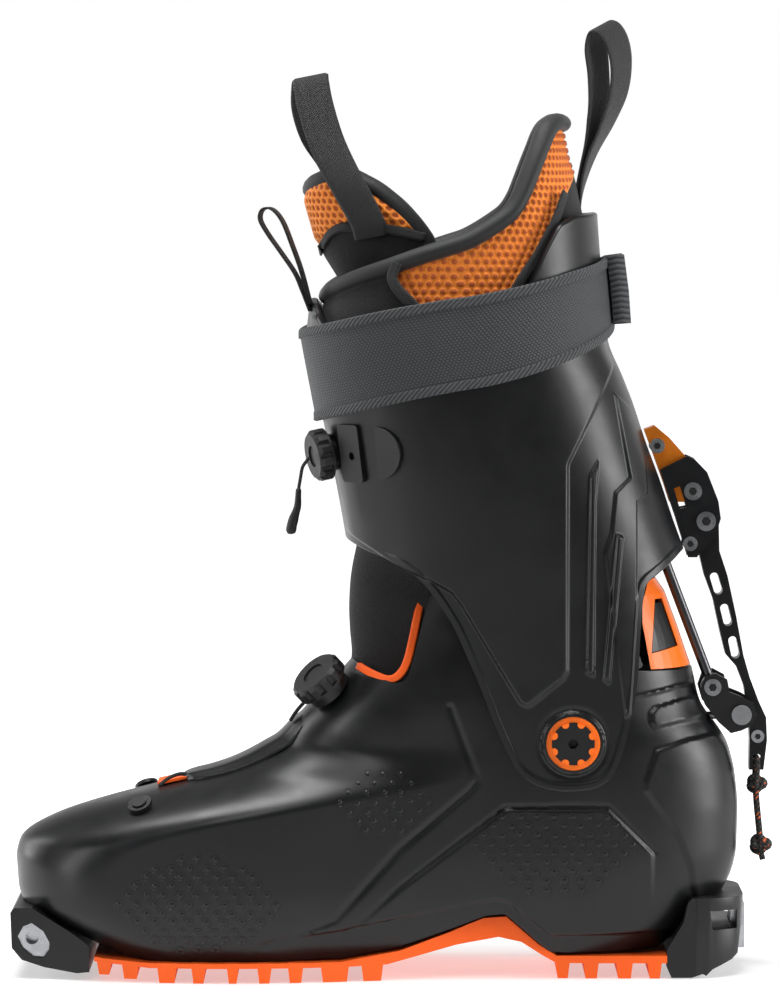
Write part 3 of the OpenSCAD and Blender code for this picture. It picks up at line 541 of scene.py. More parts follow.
# ---------- camera, light and floor ----------
def studio():
    """Camera at the photo's angle, a sky that is pale behind the boot, soft lights, and a floor that glows behind
    the boot as painted light and is darkened in front of it as painted shade.
    """
    scene = bpy.context.scene
    cam = bpy.data.objects.new("camera", bpy.data.cameras.new("camera"))
    cam.data.sensor_width = 36
    cam.data.lens = 198.4
    cam.location = (0, -2.2, 0.332)
    cam.rotation_mode = "QUATERNION"
    cam.rotation_quaternion = (Vector((0, 0, 0.188)) - cam.location).to_track_quat("-Z", "Y")
    cam.data.clip_start = 0.05
    scene.collection.objects.link(cam)
    scene.camera = cam

    world = bpy.data.worlds.new("studio")
    scene.world = world
    world.use_nodes = True
    sky = Tree(world.node_tree)
    heading = sky.split(sky.add("ShaderNodeTexCoord"))
    low = sky.span(heading[2], 0.16, 0.4, 1.0, 0.2)
    back = sky.span(heading[1], 0.0, 0.65, 0.22, 1.0)
    background = world.node_tree.nodes["Background"]
    sky.set(background, "Color", (1, 1, 1, 1))
    sky.set(background, "Strength", sky.math("MULTIPLY", low, back))
    scene.view_settings.view_transform = "Standard"

    for name, place, aim, size, power in [
        ("overhead", (-0.15, -0.12, 1.35), (-0.05, 0, 0.1), (1.2, 0.4), 20),
        ("right_box", (1.3, -0.35, 0.4), (0.08, 0, 0.24), (0.5, 0.9), 15),
        ("left_box", (-1.3, -0.7, 0.4), (-0.05, 0, 0.18), (0.2, 0.9), 6),
        ("front_fill", (-0.3, -1.3, 1.5), (0, 0, 0.2), (0.7, 0.7), 6),
        ("rim_left", (-1.1, 0.6, 0.5), (-0.05, 0, 0.12), (0.25, 0.8), 4),
    ]:
        light = bpy.data.lights.new(name, "AREA")
        light.shape = "RECTANGLE"
        light.size, light.size_y = size
        light.energy = power
        obj = bpy.data.objects.new(name, light)
        obj.location = place
        obj.rotation_mode = "QUATERNION"
        obj.rotation_quaternion = (Vector(aim) - Vector(place)).to_track_quat("-Z", "Y")
        scene.collection.objects.link(obj)

    corners = [(x, y, -0.2) for x, y in ((-9000, -9000), (9000, -9000), (9000, 9000), (-9000, 9000))]
    floor = mesh_object("floor", corners, np.array([[0, 1, 2, 3]]))
    m = Nodes("pale_floor", 0.8, (0.6, 0.6, 0.6))
    depth = m.split(m.place())[1]
    pale = m.ramp(m.noise(3), 0.3, 0.7, (0.6, 0.6, 0.6), (0.62, 0.62, 0.62))
    # Painted shade: the floor far in front of the boot is dark grey, so that the boot's flanks reflect less light.
    m.colour(m.ramp(depth, -1.1, -0.45, (0.14, 0.14, 0.14), pale))
    # Painted light: the floor glows, from almost nothing in front of the boot to nearly white behind it.
    m.set(m.shader, "Emission Color", (1, 1, 1, 1))
    m.set(m.shader, "Emission Strength", m.span(depth, -0.5, 0.5, 0.02, 0.95))
    floor.data.materials.append(m.mat)


studio()


# ---------- cords ----------
def tube(name, points, d, mat, body, replaces=()):
    """A cord along the points, and the path that it follows."""
    path = catmull(points, 5)
    obj = sweep(name, path, round_section(d / 2, 12), (0.31, 0.9, 0.2))
    dress(obj, mat, body, replaces)
    return obj, path


CORD_D = 2.4
NEAR_STRAND = [
    (147, 0, 84.5), (147, -5, 84), (147, -6, 80.5), (146.8, -4.4, 76.5), (146.8, -1.8, 72),
    (147.2, -2.4, 66), (148, -2.6, 58), (148.6, -2, 52), (148.8, -1.6, 47), (149.6, -2.2, 43.6)]
FAR_STRAND = [
    (147, 0, 84.5), (147, 5, 84), (147, 6, 80.5), (146.8, 4.4, 76.5), (146.8, 1.8, 72), (147.2, 2.4, 66),
    (148, 2.6, 58), (148.6, 2, 52), (148.9, 1.6, 48), (149, 1.8, 45)]


def knot(name, centre, r, turns):
    """An overhand knot: a cord wound round itself."""
    t = np.linspace(0, 2 * math.pi, 90, endpoint=False)
    ring = (2 + np.cos(turns * t)) * r / 3
    path = np.stack([ring * np.cos(2 * t), ring * np.sin(2 * t), -np.sin(turns * t) * r * 0.62], 1)
    path = path[:, [0, 2, 1]] * (1, 0.9, 0.85) + centre
    return sweep(name, path, round_section(1.35, 10), (0.2, 0.3, 0.93), closed=True)


def pull_cord():
    knots = join("pull_cord_knots", [
        knot("k1", (147, 0, 74), 3.3, 3), knot("k2", (148.6, 0, 49.5), 3.6, 3)])
    dress(knots, "cord", "lever", ["cord_knots"])
    for name, points in (("pull_cord_near", NEAR_STRAND), ("pull_cord_far", FAR_STRAND)):
        obj, path = tube(name, points, CORD_D, "cord", "lever",
                         ["pull_cord"] if name.endswith("near") else [])


def toggle():
    """Release toggle of the cuff dial: a short lace with a moulded pull on its end."""
    points = [(-31.9, -25.2, 206.6), (-33.2, -25.6, 204.8), (-34.6, -26, 202.6), (-35.4, -26, 198.4),
              (-36.2, -26, 193.2), (-36.4, -26, 188), (-38.4, -26, 182.4), (-38.8, -26, 176.6)]
    obj, path = tube("toggle_lace", points, 1.4, "lace", "knob_cuff", ["toggle_cord"])
    along = catmull([(-36.15, -26, 194.2), (-36.3, -26, 191), (-36.6, -26, 187), (-38, -26, 182.6),
                     (-39, -26, 178.5), (-38.8, -26, 176.2)], 8)
    width = np.interp(np.linspace(0, 1, len(along)), [0, 0.05, 0.2, 0.5, 0.62, 0.85, 0.97, 1],
                      [0.9, 1.15, 1.2, 1.6, 2.0, 2.1, 1.6, 0.6])
    section = round_section(1, 14)[None] * width[:, None, None]
    sleeve = sweep("toggle_pull", along, section, (0, 1, 0))
    dress(sleeve, "soft", "knob_cuff", ["toggle_sleeve"])


LACE_D = 1.5
UPPER_LACE = [(-34.5, -11.5, 107.6), (-36.6, -11, 105.2), (-38.6, -10.4, 102.4), (-39.8, -10, 100.4)]
LOWER_LACE = [
    (-81.4, -14, 79.5), (-84, -15.4, 79.6), (-87, -17.6, 78.8), (-89.6, -20, 77.4), (-91.6, -22.4, 75.8)]

CUFF_LACE = [(-25.4, -9.5), (-26.8, -4), (-27, 2), (-26.4, 9), (-24.5, 17), (-21, 25)]


def laces():
    """Short taut stretches of lace, held at both ends."""
    parts = [sweep("lace", catmull(line, 6), round_section(LACE_D / 2, 10), (0.3, 0.9, 0.3))
             for line in (UPPER_LACE, LOWER_LACE)]
    dress(join("instep_laces", parts), "lace", "root", ["instep_lace"])
    pair = [sweep("lace", catmull([(*place, z) for place in CUFF_LACE], 6), round_section(0.7, 10), (0.2, 0.1, 0.95))
            for z in (204.5, 212.5)]
    dress(join("cuff_lace_cords", pair), "lace", "cuff", ["cuff_lace"])


pull_cord()
toggle()
laces()


# ---------- lower shell ----------
WALL = 3.5
RIM_Z = 157.0  # The form goes up to here, then SHELL_RIM cuts it
SHELL_FRONT = curve([
    (0, -108), (10, -121), (20, -138), (27, -147), (33, -149), (47, -150), (54, -148), (58, -142.5),
    (63, -132), (67.5, -118), (71.5, -103), (75, -88), (79.5, -69.5), (87, -52), (90.5, -45.5),
    (103, -36), (115, -24), (125, -15), (157, 5)], 1.6)
SHELL_REAR = curve([
    (0, 110), (10, 116), (20, 125), (33, 134), (39, 137), (47, 139), (67, 139.5), (81, 138), (92, 135),
    (100, 129.5), (106, 124.5), (113, 122.5), (119, 121.5), (135, 117), (157, 112)], 2.5)
SHELL_HALF = curve([
    (-150, 40), (-120, 43), (-95, 46.5), (-70, 49), (-50, 49), (-30, 46), (-10, 42), (10, 39), (30, 38),
    (90, 38), (110, 37), (140, 36)], 7)
ROUND_FRONT = curve([(0, 36), (45, 38), (60, 58), (75, 100), (90, 92), (110, 62), (125, 50), (157, 60)], 4)
WIDTH_SHARE = curve([
    (0, 0.8), (8, 0.83), (14, 0.92), (22, 0.98), (32, 1), (110, 1), (140, 0.95), (157, 0.93)], 3)
ROUND_REAR = 58
SHELL_UNDER = curve([
    (-150, 28.3), (-141, 28.3), (-127, 19.5), (-113, 11.5), (-104, 9), (-95, 8), (-18, 8), (4, 12.5),
    (24, 20), (38, 25.6), (46, 26.2), (55, 18), (63, 10.2), (70, 9.5), (108, 9.5), (114, 14.6),
    (131, 32.3), (150, 32.3)], 0.7)
SHELL_RIM = [
    (-60, 126), (-22, 126), (-15, 125), (-8, 122), (-3, 119.4), (0.5, 118), (4, 118), (6.4, 119.8),
    (8, 123), (10, 130), (13, 142), (16, 152), (19, 155.5), (24, 156.3), (84, 153), (92, 147), (96, 140),
    (98, 131), (100, 124.5), (103, 122), (160, 121)]

# Lines of the shell's relief in the side view
BAND_TOP = [(-42, 17.5), (-20, 20.5), (3.9, 25.3), (42.1, 32.6), (46.5, 31.4), (63.7, 17.6), (112.9, 18)]
RIDGE_A = [
    (23.8, 108.6), (33.7, 82), (34, 79.2), (31.4, 75.6), (3.9, 52.5), (-21.7, 24.5), (-36, 19.5),
    (-50, 14.5)]
FIELD_B = [(-20, 16), (3.9, 37.4), (45.4, 69.1), (86.3, 69.1), (104.5, 50.7)]
POCKET = [
    (150, 98), (118, 94.6), (105.3, 91.2), (100.9, 78.9), (100.9, 75), (113.1, 58.3), (119, 44),
    (121, 30)]
SLOT = [
    (150, 112), (114.4, 110.1), (104.6, 107.8), (102.8, 105.6), (102.8, 102), (104.6, 99.6),
    (114.4, 101.2), (150, 103)]
UPPER_LINE = [(92, 111), (96.9, 112.3), (114.4, 115.4), (150, 116)]


def end_round(t, n):
    """Share of the width where an end rounds off, from 0 at its tip to 1."""
    return (1 - (1 - np.clip(t, 0, 1)) ** n) ** (1 / n)


def shell_at(s, side, z, off):
    """Points of the shell's form: s runs from heel 0 to toe 1 along a side."""
    front, rear = np.maximum(SHELL_FRONT(z) + off, SHELL_FRONT(z + off) + 0.3 * off), SHELL_REAR(z) - off
    x = rear + (front - rear) * (1 - np.cos(np.pi * s)) / 2
    y = np.maximum(0, (SHELL_HALF(x) * WIDTH_SHARE(z) - off)
                   * end_round((x - front) / ROUND_FRONT(z), 2.1) * end_round((rear - x) / ROUND_REAR, 2.2))
    return np.stack([x, side * y, z + 0 * x], -1)


def shell_underside(s):
    """Height at which each column of the shell meets its underside, which is given along X."""
    z = np.full(s.shape, 20.0)
    for _ in range(14):
        z = 0.5 * z + 0.5 * SHELL_UNDER(shell_at(s, 1, z, 0)[..., 0])
    return z


def shell_relief(x, z):
    """Height of the moulded relief over the plain form, along the side view."""
    crest = lambda line, w: np.exp(-((to_line(x, z, line) / w) ** 2))
    h = 0.8 * crest(RIDGE_A, 1.1)
    field = FIELD_B + [(104.5, 20), (-20, 10)]
    h -= 1.0 * smooth(0, 1.4, signed(x, z, field)) * smooth(-25, 5, x) * smooth(22, 52, z)
    h += 0.5 * crest(FIELD_B, 0.8)
    pocket = POCKET + [(160, 30), (160, 98)]
    h -= 1.2 * smooth(-0.6, 0.8, signed(x, z, pocket))
    h -= 1.5 * smooth(-0.4, 0.8, signed(x, z, SLOT))
    h -= 0.8 * crest(UPPER_LINE, 0.7)
    h += 1.5 * smooth(0.4, -0.9, z - np.interp(x, *np.array(BAND_TOP).T)) * smooth(-46, -26, x)
    h += 0.5 * crest([(-30, 112), (-26, 103), (-15, 92), (2, 86)], 7)
    return h


def lower_shell():
    """The shell's wall, closed underneath, with its throat cut by SHELL_RIM."""
    half = 330
    s = np.concatenate([np.arange(half + 1) / half, np.arange(half - 1, 0, -1) / half])
    side = np.where(np.arange(2 * half) <= half, -1.0, 1.0)
    low = shell_underside(s)
    rim = np.full(s.shape, RIM_Z)

    def layer(off, ts, relief):
        z = low[None] + off + ts[:, None] * (rim - low - off)[None]
        p = shell_at(s[None], side[None], z, off)
        if relief:
            n = normals(p)
            flank = smooth(0.12, 0.5, np.abs(n[..., 1:2]))
            p = p + n * shell_relief(p[..., 0], p[..., 2])[..., None] * flank
        return p

    outer = layer(0, np.linspace(0, 1, 210) ** 0.92, True)
    inner = layer(WALL, np.linspace(1, 0, 40), False)
    p = np.concatenate([outer[:1] * 0.985 + np.array([0, 0, 0.4]), outer, inner])
    rows, cols = p.shape[:2]
    faces = [*grid_faces(rows, cols)]
    for row in (0, rows - 1):
        for i in range(half):
            a, b, c, d = i, i + 1, (cols - i - 1) % cols, (cols - i) % cols
            quad = [row * cols + k for k in dict.fromkeys((a, b, c, d))]
            if len(quad) > 2:
                faces.append(np.array(quad if row else quad[::-1]))
    obj = mesh_object("shell_moulding", p.reshape(-1, 3), faces)
    boolean(obj, prism("above_rim", [*side_line(SHELL_RIM, 4), (160, 210), (-60, 210)], -80, 80))
    crisp(obj)
    dress(obj, "shell", "root", ["lower_shell"])
    studs(outer)


STUD_FIELDS = [  # centre, and the studs in each row
    (-75.5, 31.5, [3, 6, 7, 8, 9, 10, 9, 8, 7, 6, 3]),
    (-2.4, 71.4, [3, 4, 5, 6, 5, 4, 3]),
    (65.0, 52.6, [4, 7, 8, 9, 10, 9, 8, 7, 6, 4]),
]
STUD_X, STUD_Z = 6.9, 3.65
STUD_RINGS = [(1.9, -0.12), (1.6, 0.3), (1.25, 0.32), (0.9, -0.02)]  # radius and height
STUD_MIDDLE = -0.1


def studs(outer):
    """Grip studs: small rings pressed into the shell's flanks in three fields."""
    sides, rings = 10, len(STUD_RINGS)
    points, norms = outer.reshape(-1, 3), normals(outer).reshape(-1, 3)
    step = np.arange(sides)
    turn = step[:, None] * 2 * math.pi / sides
    fan = np.stack([step, (step + 1) % sides, np.full(sides, sides)], 1) + (rings - 1) * sides
    one = [*grid_faces(rings, sides), *fan]
    verts, faces = [], []
    for cx, cz, counts in STUD_FIELDS:
        places = [(cx + (k - (count - 1) / 2) * STUD_X, cz + (len(counts) / 2 - row - 0.5) * STUD_Z, sign)
                  for row, count in enumerate(counts) for k in range(count) for sign in (-1, 1)]
        for x, z, sign in places:
            other_side = np.where(points[:, 1] * sign > 0, 0, 1e6)
            nearest = np.argmin((points[:, 0] - x) ** 2 + (points[:, 2] - z) ** 2 + other_side)
            centre, out = points[nearest], norms[nearest]
            a = np.cross(out, (0, 0, 1))
            a /= np.linalg.norm(a)
            b = np.cross(out, a)
            faces += [face + len(verts) * (rings * sides + 1) for face in one]
            stud = [centre + r * (np.cos(turn) * a + np.sin(turn) * b) + h * out for r, h in STUD_RINGS]
            verts.append(np.vstack([*stud, centre + STUD_MIDDLE * out]))
    dress(mesh_object("shell_studs", np.vstack(verts), faces), "shell", "root")


# ---------- cuff ----------
CUFF_FRONT = curve([
    (75, -5), (120, -14), (150, -16), (173, -17.6), (192, -21), (212, -25), (221, -27), (255, -33.5),
    (268, -32), (302, -27)], 3)
CUFF_REAR = curve([
    (75, 135), (125, 132), (150, 122), (166, 118.5), (180, 113.3), (196, 108), (212, 101.9), (228, 96.7),
    (240, 91.9), (250, 87), (285, 83.8), (302, 82.5)], 3)
CUFF_HALF = curve([
    (75, 45), (120, 45.5), (150, 47), (175, 49), (200, 51), (225, 52), (255, 52.5), (302, 50)], 5)
CUFF_EDGE = [
    (118.5, 169), (115.5, 168.6), (109, 163.7), (104.7, 160.5), (100.7, 157), (99.3, 150), (98.4, 138),
    (97.6, 124), (96, 109.5), (92, 93), (88, 83), (82, 78), (75, 76.5), (66, 76.5), (58, 78.5), (51, 83),
    (46.5, 90.5), (41, 103), (36, 116), (30, 130), (25, 141), (18, 152), (13, 158), (6, 164), (-1, 167),
    (-8, 169.5), (-13, 171.5), (-17.6, 173.6)]
CUFF_TOP = curve([
    (0, 302), (36, 301), (48, 297.5), (56, 288), (63, 276), (69, 262), (90, 256), (150, 258), (165, 266),
    (180, 268)], 1.5)
CUFF_N = 2.3
CUFF_HIGH = 302


def power(v, n):
    return np.sign(v) * np.abs(v) ** n


def cuff_at(angle, side, z, off):
    """Points of the cuff's form. angle runs from the rear 0 to the front 180 degrees."""
    a = np.radians(angle)
    mid, long = (CUFF_FRONT(z) + CUFF_REAR(z)) / 2, (CUFF_REAR(z) - CUFF_FRONT(z)) / 2
    x = mid + (long - off) * power(np.cos(a), 2 / CUFF_N)
    y = side * (CUFF_HALF(z) - off) * power(np.abs(np.sin(a)), 2 / CUFF_N)
    return np.stack([x + 0 * y, y + 0 * x, z + 0 * x], -1)


def cuff_angle(x, z):
    """The angle at which the cuff's form passes x at height z."""
    mid, long = (CUFF_FRONT(z) + CUFF_REAR(z)) / 2, (CUFF_REAR(z) - CUFF_FRONT(z)) / 2
    return np.degrees(np.arccos(power(np.clip((x - mid) / long, -1, 1), CUFF_N / 2)))


# Recesses of the cuff's side
PANEL = [
    (-30, 185), (3.9, 164.3), (14.9, 159.9), (24.5, 154.5), (28.5, 149), (51, 111.4), (53, 110),
    (55, 110.3), (68, 120.6), (69.7, 123.5), (69.4, 205), (91.7, 249.9), (60, 262), (-40, 262)]
GROOVE_2 = [(77.2, 123), (80, 121.6), (80.4, 190), (81.6, 206), (78.4, 200)]
GROOVE_3 = [(83.8, 120.5), (86.2, 118.5), (91, 176), (88.6, 177)]
REAR_STEP = [
    (88.3, 232), (94.2, 199), (88.3, 193.5), (86.7, 178), (84, 170), (92.5, 105), (94.4, 106), (97, 150),
    (97, 189.4), (101.5, 192.5), (100, 222)]


def cuff_relief(x, z, edge_distance):
    """Height of the recesses, the pivot's boss and the thinned edge over the cuff's plain form."""
    h = -1.6 * smooth(-0.9, 1.0, signed(x, z, PANEL))
    h -= 1.5 * smooth(-0.5, 0.6, signed(x, z, GROOVE_2))
    h -= 1.5 * smooth(-0.5, 0.6, signed(x, z, GROOVE_3))
    h -= 0.9 * smooth(-0.5, 0.8, signed(x, z, REAR_STEP))
    ring = np.hypot(x - PIVOT[0], z - PIVOT[1])
    h -= 1.5 * smooth(12.8, 11.9, ring)
    h += 0.35 * np.exp(-(((ring - 13.4) / 0.9) ** 2))
    h -= 0.5 * smooth(3.2, 2.2, edge_distance) * smooth(125, 105, x) * smooth(-5, 12, x)
    return h


PIVOT = [v / MM for v in (frame["joints"][0]["pos_m"][0], frame["joints"][0]["pos_m"][2])]


def cuff():
    """The cuff's wall, from its shaped lower edge to its top."""
    half = 380
    edge = side_line(CUFF_EDGE, 20)
    along = arc_length(edge)
    k = np.linspace(0, along[-1], half + 1)
    ex, ez = np.interp(k, along, edge[:, 0]), np.interp(k, along, edge[:, 1])
    low_angle = cuff_angle(ex, ez)
    low_angle[0], low_angle[-1] = 0, 180
    high_angle = np.linspace(0, 180, half + 1)
    order = np.concatenate([np.arange(half + 1), np.arange(half - 1, 0, -1)])
    side = np.where(np.arange(2 * half) <= half, -1.0, 1.0)

    def layer(off, ts, relief):
        share = (smooth(0, 1, np.minimum(1, ts * 1.35)) + np.minimum(1, ts * 1.6))[:, None] / 2
        angle = low_angle[order][None] * (1 - share) + high_angle[order][None] * share
        top = CUFF_TOP(high_angle[order])[None]
        z = ez[order][None] + (top - ez[order][None]) * ts[:, None]
        p = cuff_at(angle, side[None], z, off)
        if relief:
            n = normals(p)
            d = to_line(p[..., 0], p[..., 2], [tuple(e) for e in edge[::10]])
            flank = smooth(0.15, 0.5, np.abs(n[..., 1:2]))
            p = p + n * cuff_relief(p[..., 0], p[..., 2], d)[..., None] * flank
        return p

    outer = layer(0, np.concatenate([np.linspace(0, 0.12, 40)[:-1], np.linspace(0.12, 1, 230)]), True)
    inner = layer(WALL, np.linspace(1, 0, 60), False)

    down = outer[0] - outer[6]
    down /= np.linalg.norm(down, axis=1, keepdims=True)
    round_top = lip(outer[-1], inner[0], np.array([0, 0, WALL * 0.3]))
    round_edge = lip(inner[-1], outer[0], down * WALL * 0.18)
    obj = grid_object("cuff_moulding", np.concatenate([outer, round_top, inner, round_edge]), True, True)
    # The drum is inside out, and the quick solver leaves a thin cap over the far side's hole
    ends = [np.insert(circle(*PIVOT, 10.7, 64), 1, y, axis=1) for y in (-70, 70)]
    boolean(obj, mesh_object("hole", np.vstack(ends), capped_faces(2, 64)), solver="FAST")
    crisp(obj)
    dress(obj, "shell", "cuff", ["cuff_shell"])


lower_shell()
cuff()


# ---------- liner ----------
def honeycomb(u, v, pitch=3.35, hole=1.12):
    """Depth of the hollow at each point of the mesh cloth, 1 in the middle of a hole."""
    r = np.array([pitch, pitch * math.sqrt(3)])
    a = np.stack([np.mod(u, r[0]) - r[0] / 2, np.mod(v, r[1]) - r[1] / 2])
    b = np.stack([np.mod(u - r[0] / 2, r[0]) - r[0] / 2, np.mod(v - r[1] / 2, r[1]) - r[1] / 2])
    d = np.minimum(np.hypot(*a), np.hypot(*b))
    return smooth(hole + 0.25, hole - 0.45, d)


def collar_top(angle):
    return curve([(0, 340), (20, 341), (34, 338), (50, 324), (66, 306), (90, 292), (120, 283), (150, 276),
                  (180, 270)], 4)(angle)


LINER_LOW = 172.5
LINER_FOAM = 6.0
LINER_OUT = WALL + 1.8
MESH_AREA = [
    (-3.5, 283), (26.4, 296), (40.4, 314), (55.4, 333), (66.6, 342), (76, 345), (100, 345), (100, 322),
    (75.5, 320), (71.5, 312), (66.5, 300), (58.5, 286), (52, 277), (44, 262), (12, 262), (6, 268),
    (0.5, 274)]


def collar_lean(z):
    """How far the collar leans forward above the cuff's highest point."""
    return np.maximum(0, z - CUFF_HIGH) * 0.2


def round_leg(angle):
    """An angle of 0 to 360 degrees round the leg, as an angle from the rear and a side."""
    return np.where(angle <= 180, angle, 360 - angle), np.where(angle <= 180, -1.0, 1.0)


def collar_at(angle, t, off):
    """Points of the collar. angle is round the leg from the rear, t from its lower edge to its top."""
    up, side = round_leg(angle)
    z = LINER_LOW + (collar_top(up) - LINER_LOW) * t
    p = cuff_at(up, side, np.minimum(z, CUFF_HIGH), off)
    p[..., 0] -= collar_lean(z)
    p[..., 2] = z
    return p


def collar():
    """The liner's padded collar, with its mesh panels."""
    cols = 960
    angle = np.arange(cols) * 360 / cols
    ts = np.concatenate([np.linspace(0, 0.45, 10)[:-1], np.linspace(0.45, 0.985, 190)])
    outer = collar_at(angle[None], ts[:, None], LINER_OUT)
    x, z = outer[..., 0], outer[..., 2]
    area = signed(x, z, MESH_AREA)
    u = np.broadcast_to(angle[None] / 360 * 330, x.shape)
    hollow = honeycomb(u, z) * smooth(0.2, 1.2, area)
    puff = smooth(-3, 6, area) * 1.4 + smooth(262, 275, z) * 0.6
    n = normals(outer)
    outer = outer + n * (puff - 0.85 * hollow)[..., None]
    inner = collar_at(angle[None], np.linspace(0.985, 0, 50)[:, None], LINER_OUT + LINER_FOAM)
    p = np.concatenate([outer, lip(outer[-1], inner[0], np.array([0, 0, 2.2])), inner])
    obj = grid_object("liner_collar", p, True, True)
    inside_rows = ((0, len(p) - len(outer)), (0, 0))
    add_value(obj, "hollow", np.pad(hollow, inside_rows))
    stands_for = ["liner_heel", "liner_outer", "liner_shin", "liner_inner"]
    dress(obj, ["lining", "mesh"], "cuff", stands_for)
    on_mesh = np.pad(area > 0, inside_rows).astype(np.int32).ravel()
    obj.data.polygons.foreach_set("material_index", on_mesh[:len(obj.data.polygons)])
    collar_edges()


def on_collar(line, off):
    """Points on the collar's near side under a line in the side view, and their normals."""
    x, z = side_line(line, 10).T
    low = np.minimum(z, CUFF_HIGH)
    edge = LINER_OUT + 0.5
    angle = cuff_angle(np.clip(x + collar_lean(z), CUFF_FRONT(low) + edge, CUFF_REAR(low) - edge), low)
    p = cuff_at(angle, -1, low, LINER_OUT)
    q = cuff_at(angle, -1, low, LINER_OUT - 1)
    n = q - p
    n /= np.linalg.norm(n, axis=1, keepdims=True)
    p[:, 0] -= collar_lean(z)
    p[:, 2] = z
    return p + n * off, n


def collar_edges():
    """Bindings and edge tapes sewn round the collar's mesh."""
    angle = np.arange(240) * 1.5
    top = collar_at(angle, np.full(240, 0.985), LINER_OUT + LINER_FOAM / 2 - 0.6)
    top[:, 2] += 0.6
    binding = sweep("collar_binding", top, round_section(4.4, 16, 0.8), (0, 0, 1), closed=True)
    dress(binding, "smooth", "cuff")
    tapes = []
    for sign in (-1, 1):
        for line in (
            [(1, 284), (-1, 278), (1.8, 273), (7.1, 268), (13, 262)],
            [(44, 262), (48, 269), (53, 277), (59.5, 286), (67.5, 300), (72, 311)],
        ):
            p, n = on_collar(line, 1.7)
            p[:, 1] *= -sign
            n = n * (1, -sign, 1)
            tapes.append(sweep("tape", p, band_section(4.6, 1.3, 8), n))
    dress(join("collar_tapes", tapes), "tape", "cuff")


def ankle():
    """Soft flexing zone of the liner, from inside the shell to inside the cuff."""
    rings = [
        (104, -14, 111, 30), (112, -18.5, 111, 30), (118, -17.5, 110.5, 30), (123, -15.5, 108.2, 29.5),
        (127, -15, 107.6, 28.5), (134, -16, 107, 28), (145, -16.5, 103.5, 27), (156, -16, 101, 27),
        (164, -14.8, 102, 31.5), (171, -13, 104, 37.5), (180, -13, 103, 40)]
    z = np.linspace(104, 180, 100)
    front, rear, half = (curve([(ring[0], ring[k]) for ring in rings], 3)(z)[:, None] for k in (1, 2, 3))
    z = z[:, None]
    a = np.arange(220) * 2 * math.pi / 220

    def layer(off):
        ripple = 0.5 * np.sin(z / 3.4 + 2 * np.sin(a)) * smooth(118, 130, z)
        x = (front + rear) / 2 + ((rear - front) / 2 - off) * power(np.cos(a), 2 / 2.15)
        y = -(half - off + ripple) * power(np.sin(a), 2 / 2.15)
        return np.stack([x, y, z + 0 * x], -1)

    outer, inner = layer(0), layer(LINER_FOAM)
    obj = grid_object("liner_gaiter", np.concatenate([outer, inner[::-1]]), True, True)
    dress(obj, "lining", None, ["liner_ankle"])
    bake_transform(obj)


TONGUE_LEAN = curve([
    (180, -6), (212, -12.5), (250, -18.5), (262, -17.4), (271, -17.6), (279, -22), (287, -27.4),
    (312, -34.5), (320, -35.5)], 3)
TONGUE_DEPTH = curve([(180, 12), (255, 20), (270, 28), (285, 38), (320, 39)], 3)
TONGUE_TOP = curve([(0, 313), (25, 316.5), (45, 319), (58, 318.5), (75, 313), (88, 305), (98, 294)], 3)
TONGUE_HALF = curve([(180, 24), (320, 27)])
TONGUE_WRAP = 98
TONGUE_SEAM = curve([
    (-45, 283), (-33, 283), (-29, 288), (-25, 294), (-19, 297.6), (-5, 297.5), (6, 295.5), (14, 293)], 2)


def tongue_at(angle, z, off):
    """Points of the tongue. angle runs round it from the middle of the shin."""
    a = np.radians(angle)
    x = TONGUE_LEAN(z) + off + (TONGUE_DEPTH(z) - off) * (1 - np.cos(a))
    y = (TONGUE_HALF(z) - off) * np.sin(a)
    return np.stack([x, y + 0 * x, z + 0 * x], -1)


def tongue():
    """The liner's padded tongue, with its mesh panel, binding and edge tape."""
    angle = np.linspace(-TONGUE_WRAP, TONGUE_WRAP, 300)
    t = np.concatenate([np.linspace(0, 0.55, 20)[:-1], np.linspace(0.55, 1, 130)])[:, None]
    top = TONGUE_TOP(np.abs(angle)) - 1.0
    z = 180 + (top - 180)[None] * t
    outer = tongue_at(angle[None], z, 0.0)
    above = z - TONGUE_SEAM(outer[..., 0])
    u = np.broadcast_to(np.radians(angle)[None] * 32, z.shape)
    hollow = honeycomb(u, z, 3.2) * smooth(0.3, 1.2, above)
    inward = tongue_at(angle[None], z, 1.0) - outer
    puff = (1.2 * smooth(0, 5, above) - 0.8 * hollow) * smooth(1.5, 6, top[None] - z)
    outer = outer - inward * puff[..., None]
    inner = tongue_at(angle[::-1][None], z[:, ::-1], LINER_FOAM)
    cloth = np.concatenate([outer, inner], axis=1)
    top_row = cloth[-1:] + np.array([0, 0, 0.3])
    obj = grid_object("tongue_pad", np.concatenate([cloth, top_row]), True, False)
    add_value(obj, "hollow", np.pad(hollow, ((0, 1), (0, len(angle)))))
    dress(obj, ["lining", "mesh"], "cuff", ["liner_tongue"])
    on_mesh = np.pad(above > 0, ((0, 0), (0, len(angle))))
    obj.data.polygons.foreach_set("material_index", on_mesh.astype(np.int32).ravel())

    rim = [tongue_at(-TONGUE_WRAP, h, LINER_FOAM / 2) for h in np.linspace(262, 292, 12)]
    rim += [tongue_at(k, TONGUE_TOP(abs(k)) - 1.3, LINER_FOAM / 2) for k in np.linspace(-94, 94, 60)]
    rim += [tongue_at(TONGUE_WRAP, h, LINER_FOAM / 2) for h in np.linspace(292, 262, 12)]
    binding = sweep("tongue_binding", catmull(rim, 2), round_section(3.6, 14, 1.0), (0.1, 0.05, 1))
    dress(binding, "smooth", "cuff")
    angle = np.linspace(-97, 97, 90)
    seam = tongue_at(angle, TONGUE_SEAM(tongue_at(angle, 295, 0)[:, 0]), -0.7)
    out = seam - tongue_at(angle, 295, 1.0)
    out[:, 2] = 0.2
    tape = sweep("tongue_tape", seam, band_section(3.8, 1.2, 8), out)
    dress(tape, "tape", "cuff")


collar()
ankle()
tongue()


